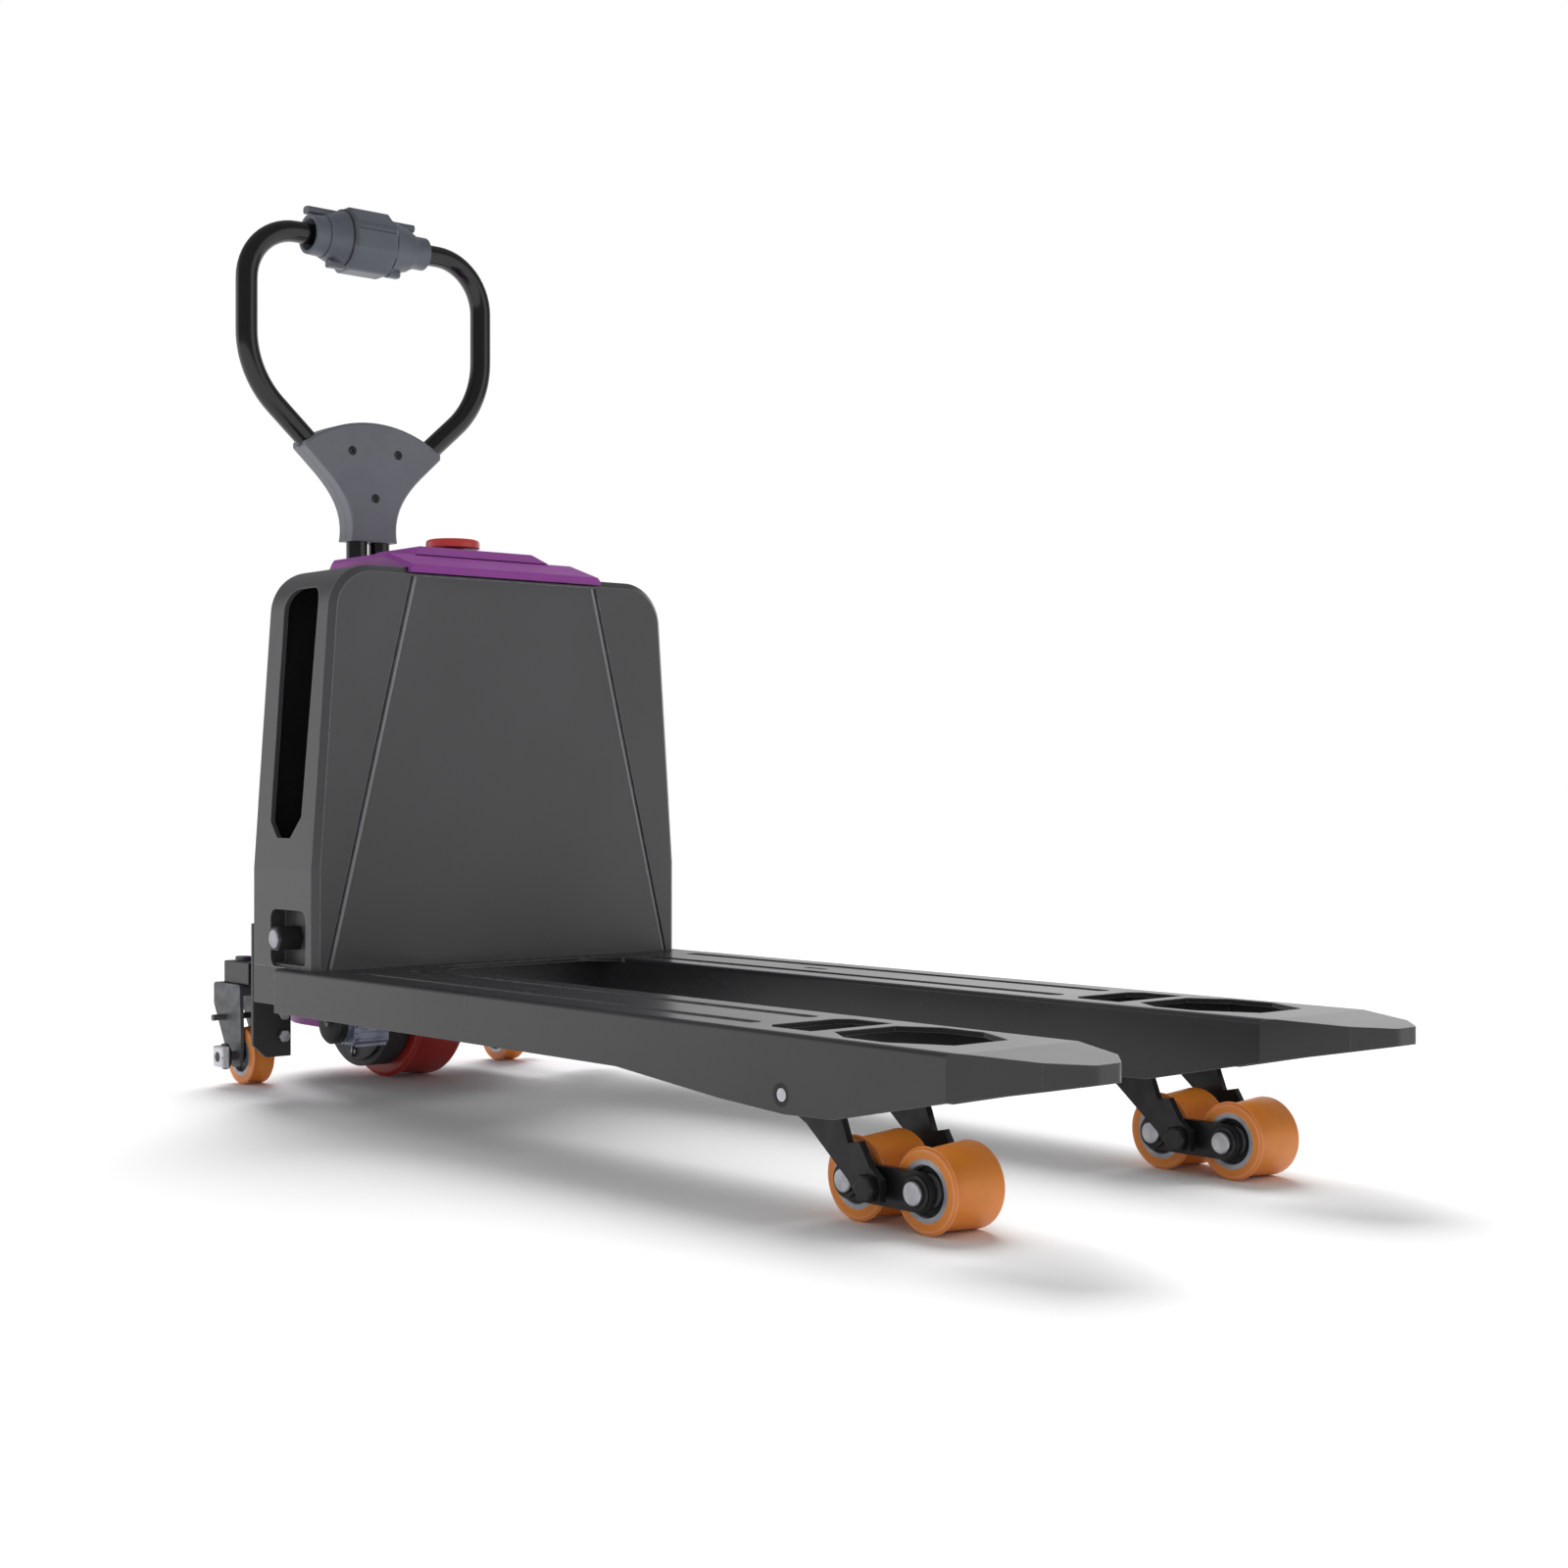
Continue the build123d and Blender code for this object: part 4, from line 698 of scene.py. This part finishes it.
# %% Pump ribs and cap
pump_low, pump_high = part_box("pump_unit")
body_front = pump_low.y + mm(24)
for i in range(7):
    x = pump_low.x + mm(3) + i * (pump_high.x - pump_low.x - mm(6)) / 6
    slab(f"pump_rib_{i}", (x - mm(1.1), body_front + mm(3), pump_low.z - mm(2.5)),
         (x + mm(1.1), pump_high.y - mm(2), pump_low.z + mm(4)), die_cast, "drive_base")
for i in range(6):
    z = pump_low.z + mm(5) + i * mm(8)
    slab(f"pump_fin_{i}", (pump_high.x - mm(1), body_front + mm(3), z),
         (pump_high.x + mm(2.5), pump_high.y - mm(2), z + mm(2.2)), die_cast, "drive_base")
cap_centre = Vector(((pump_low.x + pump_high.x) / 2, pump_low.y, (pump_low.z + pump_high.z) / 2))
cap = [(0, 3.4), (22.5, 3.4), (25.7, 6.6), (25.7, 17), (0, 17)]
turned("pump_cap", cap, cap_centre, phosphate, "drive_base")
screw = [(0, 0.2), (3.2, 0.2), (4.2, 1.2), (4.2, 6), (0, 6)]
turned("pump_screw", screw, cap_centre, zinc_plate, "drive_base", steps=32)
print("pump details ready")

# %% [markdown]
# The gearbox cover is cast with a V shaped stiffener. A thin white strip down its middle is a painted
# highlight along the stiffener's ridge, and six screws on a circle hold it.

# %% Gearbox ridge highlight
SCREW_CIRCLE = mm(68)
cover_low, cover_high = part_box("gearbox_cover")
cover_x, cover_z = (cover_low.x + cover_high.x) / 2, (cover_low.z + cover_high.z) / 2
# A thin white slab painted as the highlight on the stiffener's ridge.
ridge_highlight_paint = moulded("white_ridge_painted_highlight", "D8D8D6", "BDBDBB", 0.4, depth=0.02)
slab("gearbox_ridge_highlight", (cover_x - mm(1.2), cover_low.y - mm(0.3), cover_z - mm(70)),
     (cover_x + mm(1.2), cover_low.y + mm(5.5), cover_z - mm(26)), ridge_highlight_paint, "drive_unit", edge_mm=0.3)
for i in range(6):
    turn = math.radians(60 * i + 30)
    spot = Vector((cover_x + SCREW_CIRCLE * math.cos(turn), cover_low.y,
                   cover_z + SCREW_CIRCLE * math.sin(turn)))
    screw = [(0, 1.2), (4.6, 1.2), (5.4, 2), (5.4, 6), (0, 6)]
    turned(f"gearbox_screw_{i}", screw, spot, zinc_plate, "drive_unit", steps=32)
print("gearbox details ready")

# %% [markdown]
# A caster's axle ends in a square bright nut over a black washer. Its kingpin shows as a turned cap on
# the housing.

# %% Caster nuts and kingpins
for side, sign in (("left", 1), ("right", -1)):
    wheel_centre = middle("caster_tyre_" + side)
    yoke_low, yoke_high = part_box("caster_yoke_" + side)
    body = "caster_swivel_" + side
    outer = (yoke_high.y - wheel_centre.y) * 1000 if sign > 0 else (wheel_centre.y - yoke_low.y) * 1000
    nut = [(0, sign * (outer + 0.2)), (16, sign * (outer + 0.2)), (18.6, sign * (outer - 1.2)),
           (18.6, sign * (outer - 9)), (0, sign * (outer - 9))]
    square = turned("caster_nut_" + side, nut, (0, 0, 0), bright_zinc, body, steps=4)
    square.data.transform(Matrix.Translation(wheel_centre) @ Matrix.Rotation(math.radians(45), 4, "Y"))
    boss = [(0, sign * (outer + 0.6)), (6, sign * (outer + 0.6)), (6.8, sign * outer),
            (6.8, sign * (outer - 4)), (0, sign * (outer - 4))]
    turned("caster_boss_" + side, boss, wheel_centre, phosphate, body, steps=40)
    washer = [(7, sign * (outer - 9)), (16.5, sign * (outer - 9)), (16.5, sign * (outer - 12)),
              (7, sign * (outer - 12))]
    turned("caster_washer_" + side, washer, wheel_centre, phosphate, body, steps=48)
    kingpin = joint_at["caster_turn_" + side]
    profile = [(0, 0), (9, 0), (9.8, -0.8), (9.8, -4), (0, -4)]
    cap = turned("kingpin_cap_" + side, profile, (0, 0, 0), zinc_plate, body, steps=48)
    spot = Vector((kingpin.x, kingpin.y, yoke_high.z + mm(0.6)))
    cap.data.transform(Matrix.Translation(spot) @ Matrix.Rotation(math.radians(90), 4, "X"))
print("caster details ready")

# %% [markdown]
# The floor is pale and plain. The light is a white studio: even light from all round, and one broad soft
# key from high behind the truck's left side, so that the shadow falls towards the fork tips and the
# right. What mirrors in the coats is a grey room with three upright softboxes: two opposite each other
# that light the panel and the fork's side, and one on the far side that lays a bright band on the decks.
# They draw the narrow highlights along the tiller tube.

# %% Floor and light
FLOOR_HALF = 40
FACING_AZIMUTH, FACING_HALF_WIDTH = 34, 22
DECK_AZIMUTH, DECK_HALF_WIDTH = 117, 26
SOFT_RIM = 6
ROOM_MIRRORED, BOX_MIRRORED, SKY_SCATTERED = 0.28, 1.15, 0.55
KEY_STRENGTH, KEY_WIDTH, KEY_HEADING = 3.2, 42, (0.60, -0.42, -0.70)

floor_mesh = bpy.data.meshes.new("floor")
floor_corners = [(x * FLOOR_HALF, y * FLOOR_HALF, 0) for x, y in ((-1, -1), (1, -1), (1, 1), (-1, 1))]
floor_mesh.from_pydata(floor_corners, [], [(0, 1, 2, 3)])
floor = bpy.data.objects.new("floor", floor_mesh)
bpy.context.scene.collection.objects.link(floor)
floor_paint, _, floor_shader, _ = start_material("pale_studio_floor", Roughness=0.9)
floor_shader.inputs["Base Color"].default_value = srgb("FFFFFF")
floor_mesh.materials.append(floor_paint)

world = bpy.data.worlds.new("studio")
world.use_nodes = True
sky = world.node_tree.nodes["Background"]
sky.inputs[0].default_value = (1.0, 1.0, 1.0, 1.0)
studio = world.node_tree
ray = studio.nodes.new("ShaderNodeLightPath")
look = studio.nodes.new("ShaderNodeTexCoord").outputs["Generated"]


def softbox(azimuth, half_width, both_ways=False):
    """One upright softbox at an azimuth: 1 inside its half width in degrees, 0 outside, with a soft rim."""
    towards = (math.cos(math.radians(azimuth)), math.sin(math.radians(azimuth)), 0.0)
    along = dot(studio, look, towards)
    if both_ways:
        along = combined(studio, "ABSOLUTE", along)
    outer = math.cos(math.radians(half_width + SOFT_RIM))
    inner = math.cos(math.radians(half_width - SOFT_RIM))
    return ramp(studio, along, outer, inner, 0.0, 1.0)


boxes = combined(studio, "MAXIMUM", softbox(FACING_AZIMUTH, FACING_HALF_WIDTH, both_ways=True),
                 softbox(DECK_AZIMUTH, DECK_HALF_WIDTH))
mirrored = ramp(studio, boxes, 0.0, 1.0, ROOM_MIRRORED, BOX_MIRRORED)
scattered = ramp(studio, ray.outputs["Is Diffuse Ray"], 0.0, 1.0, 1.0, SKY_SCATTERED)
strength = add(studio, "Mix", None, i0=ray.outputs["Is Glossy Ray"], i2=scattered, i3=mirrored).outputs[0]
studio.links.new(strength, sky.inputs[1])
bpy.context.scene.world = world

sun_data = bpy.data.lights.new("soft_key", "SUN")
sun_data.energy = KEY_STRENGTH
sun_data.angle = math.radians(KEY_WIDTH)
sun = bpy.data.objects.new("soft_key", sun_data)
sun.visible_glossy = False
sun.rotation_euler = Vector(KEY_HEADING).to_track_quat("-Z", "Y").to_euler()
bpy.context.scene.collection.objects.link(sun)
print("stage ready")
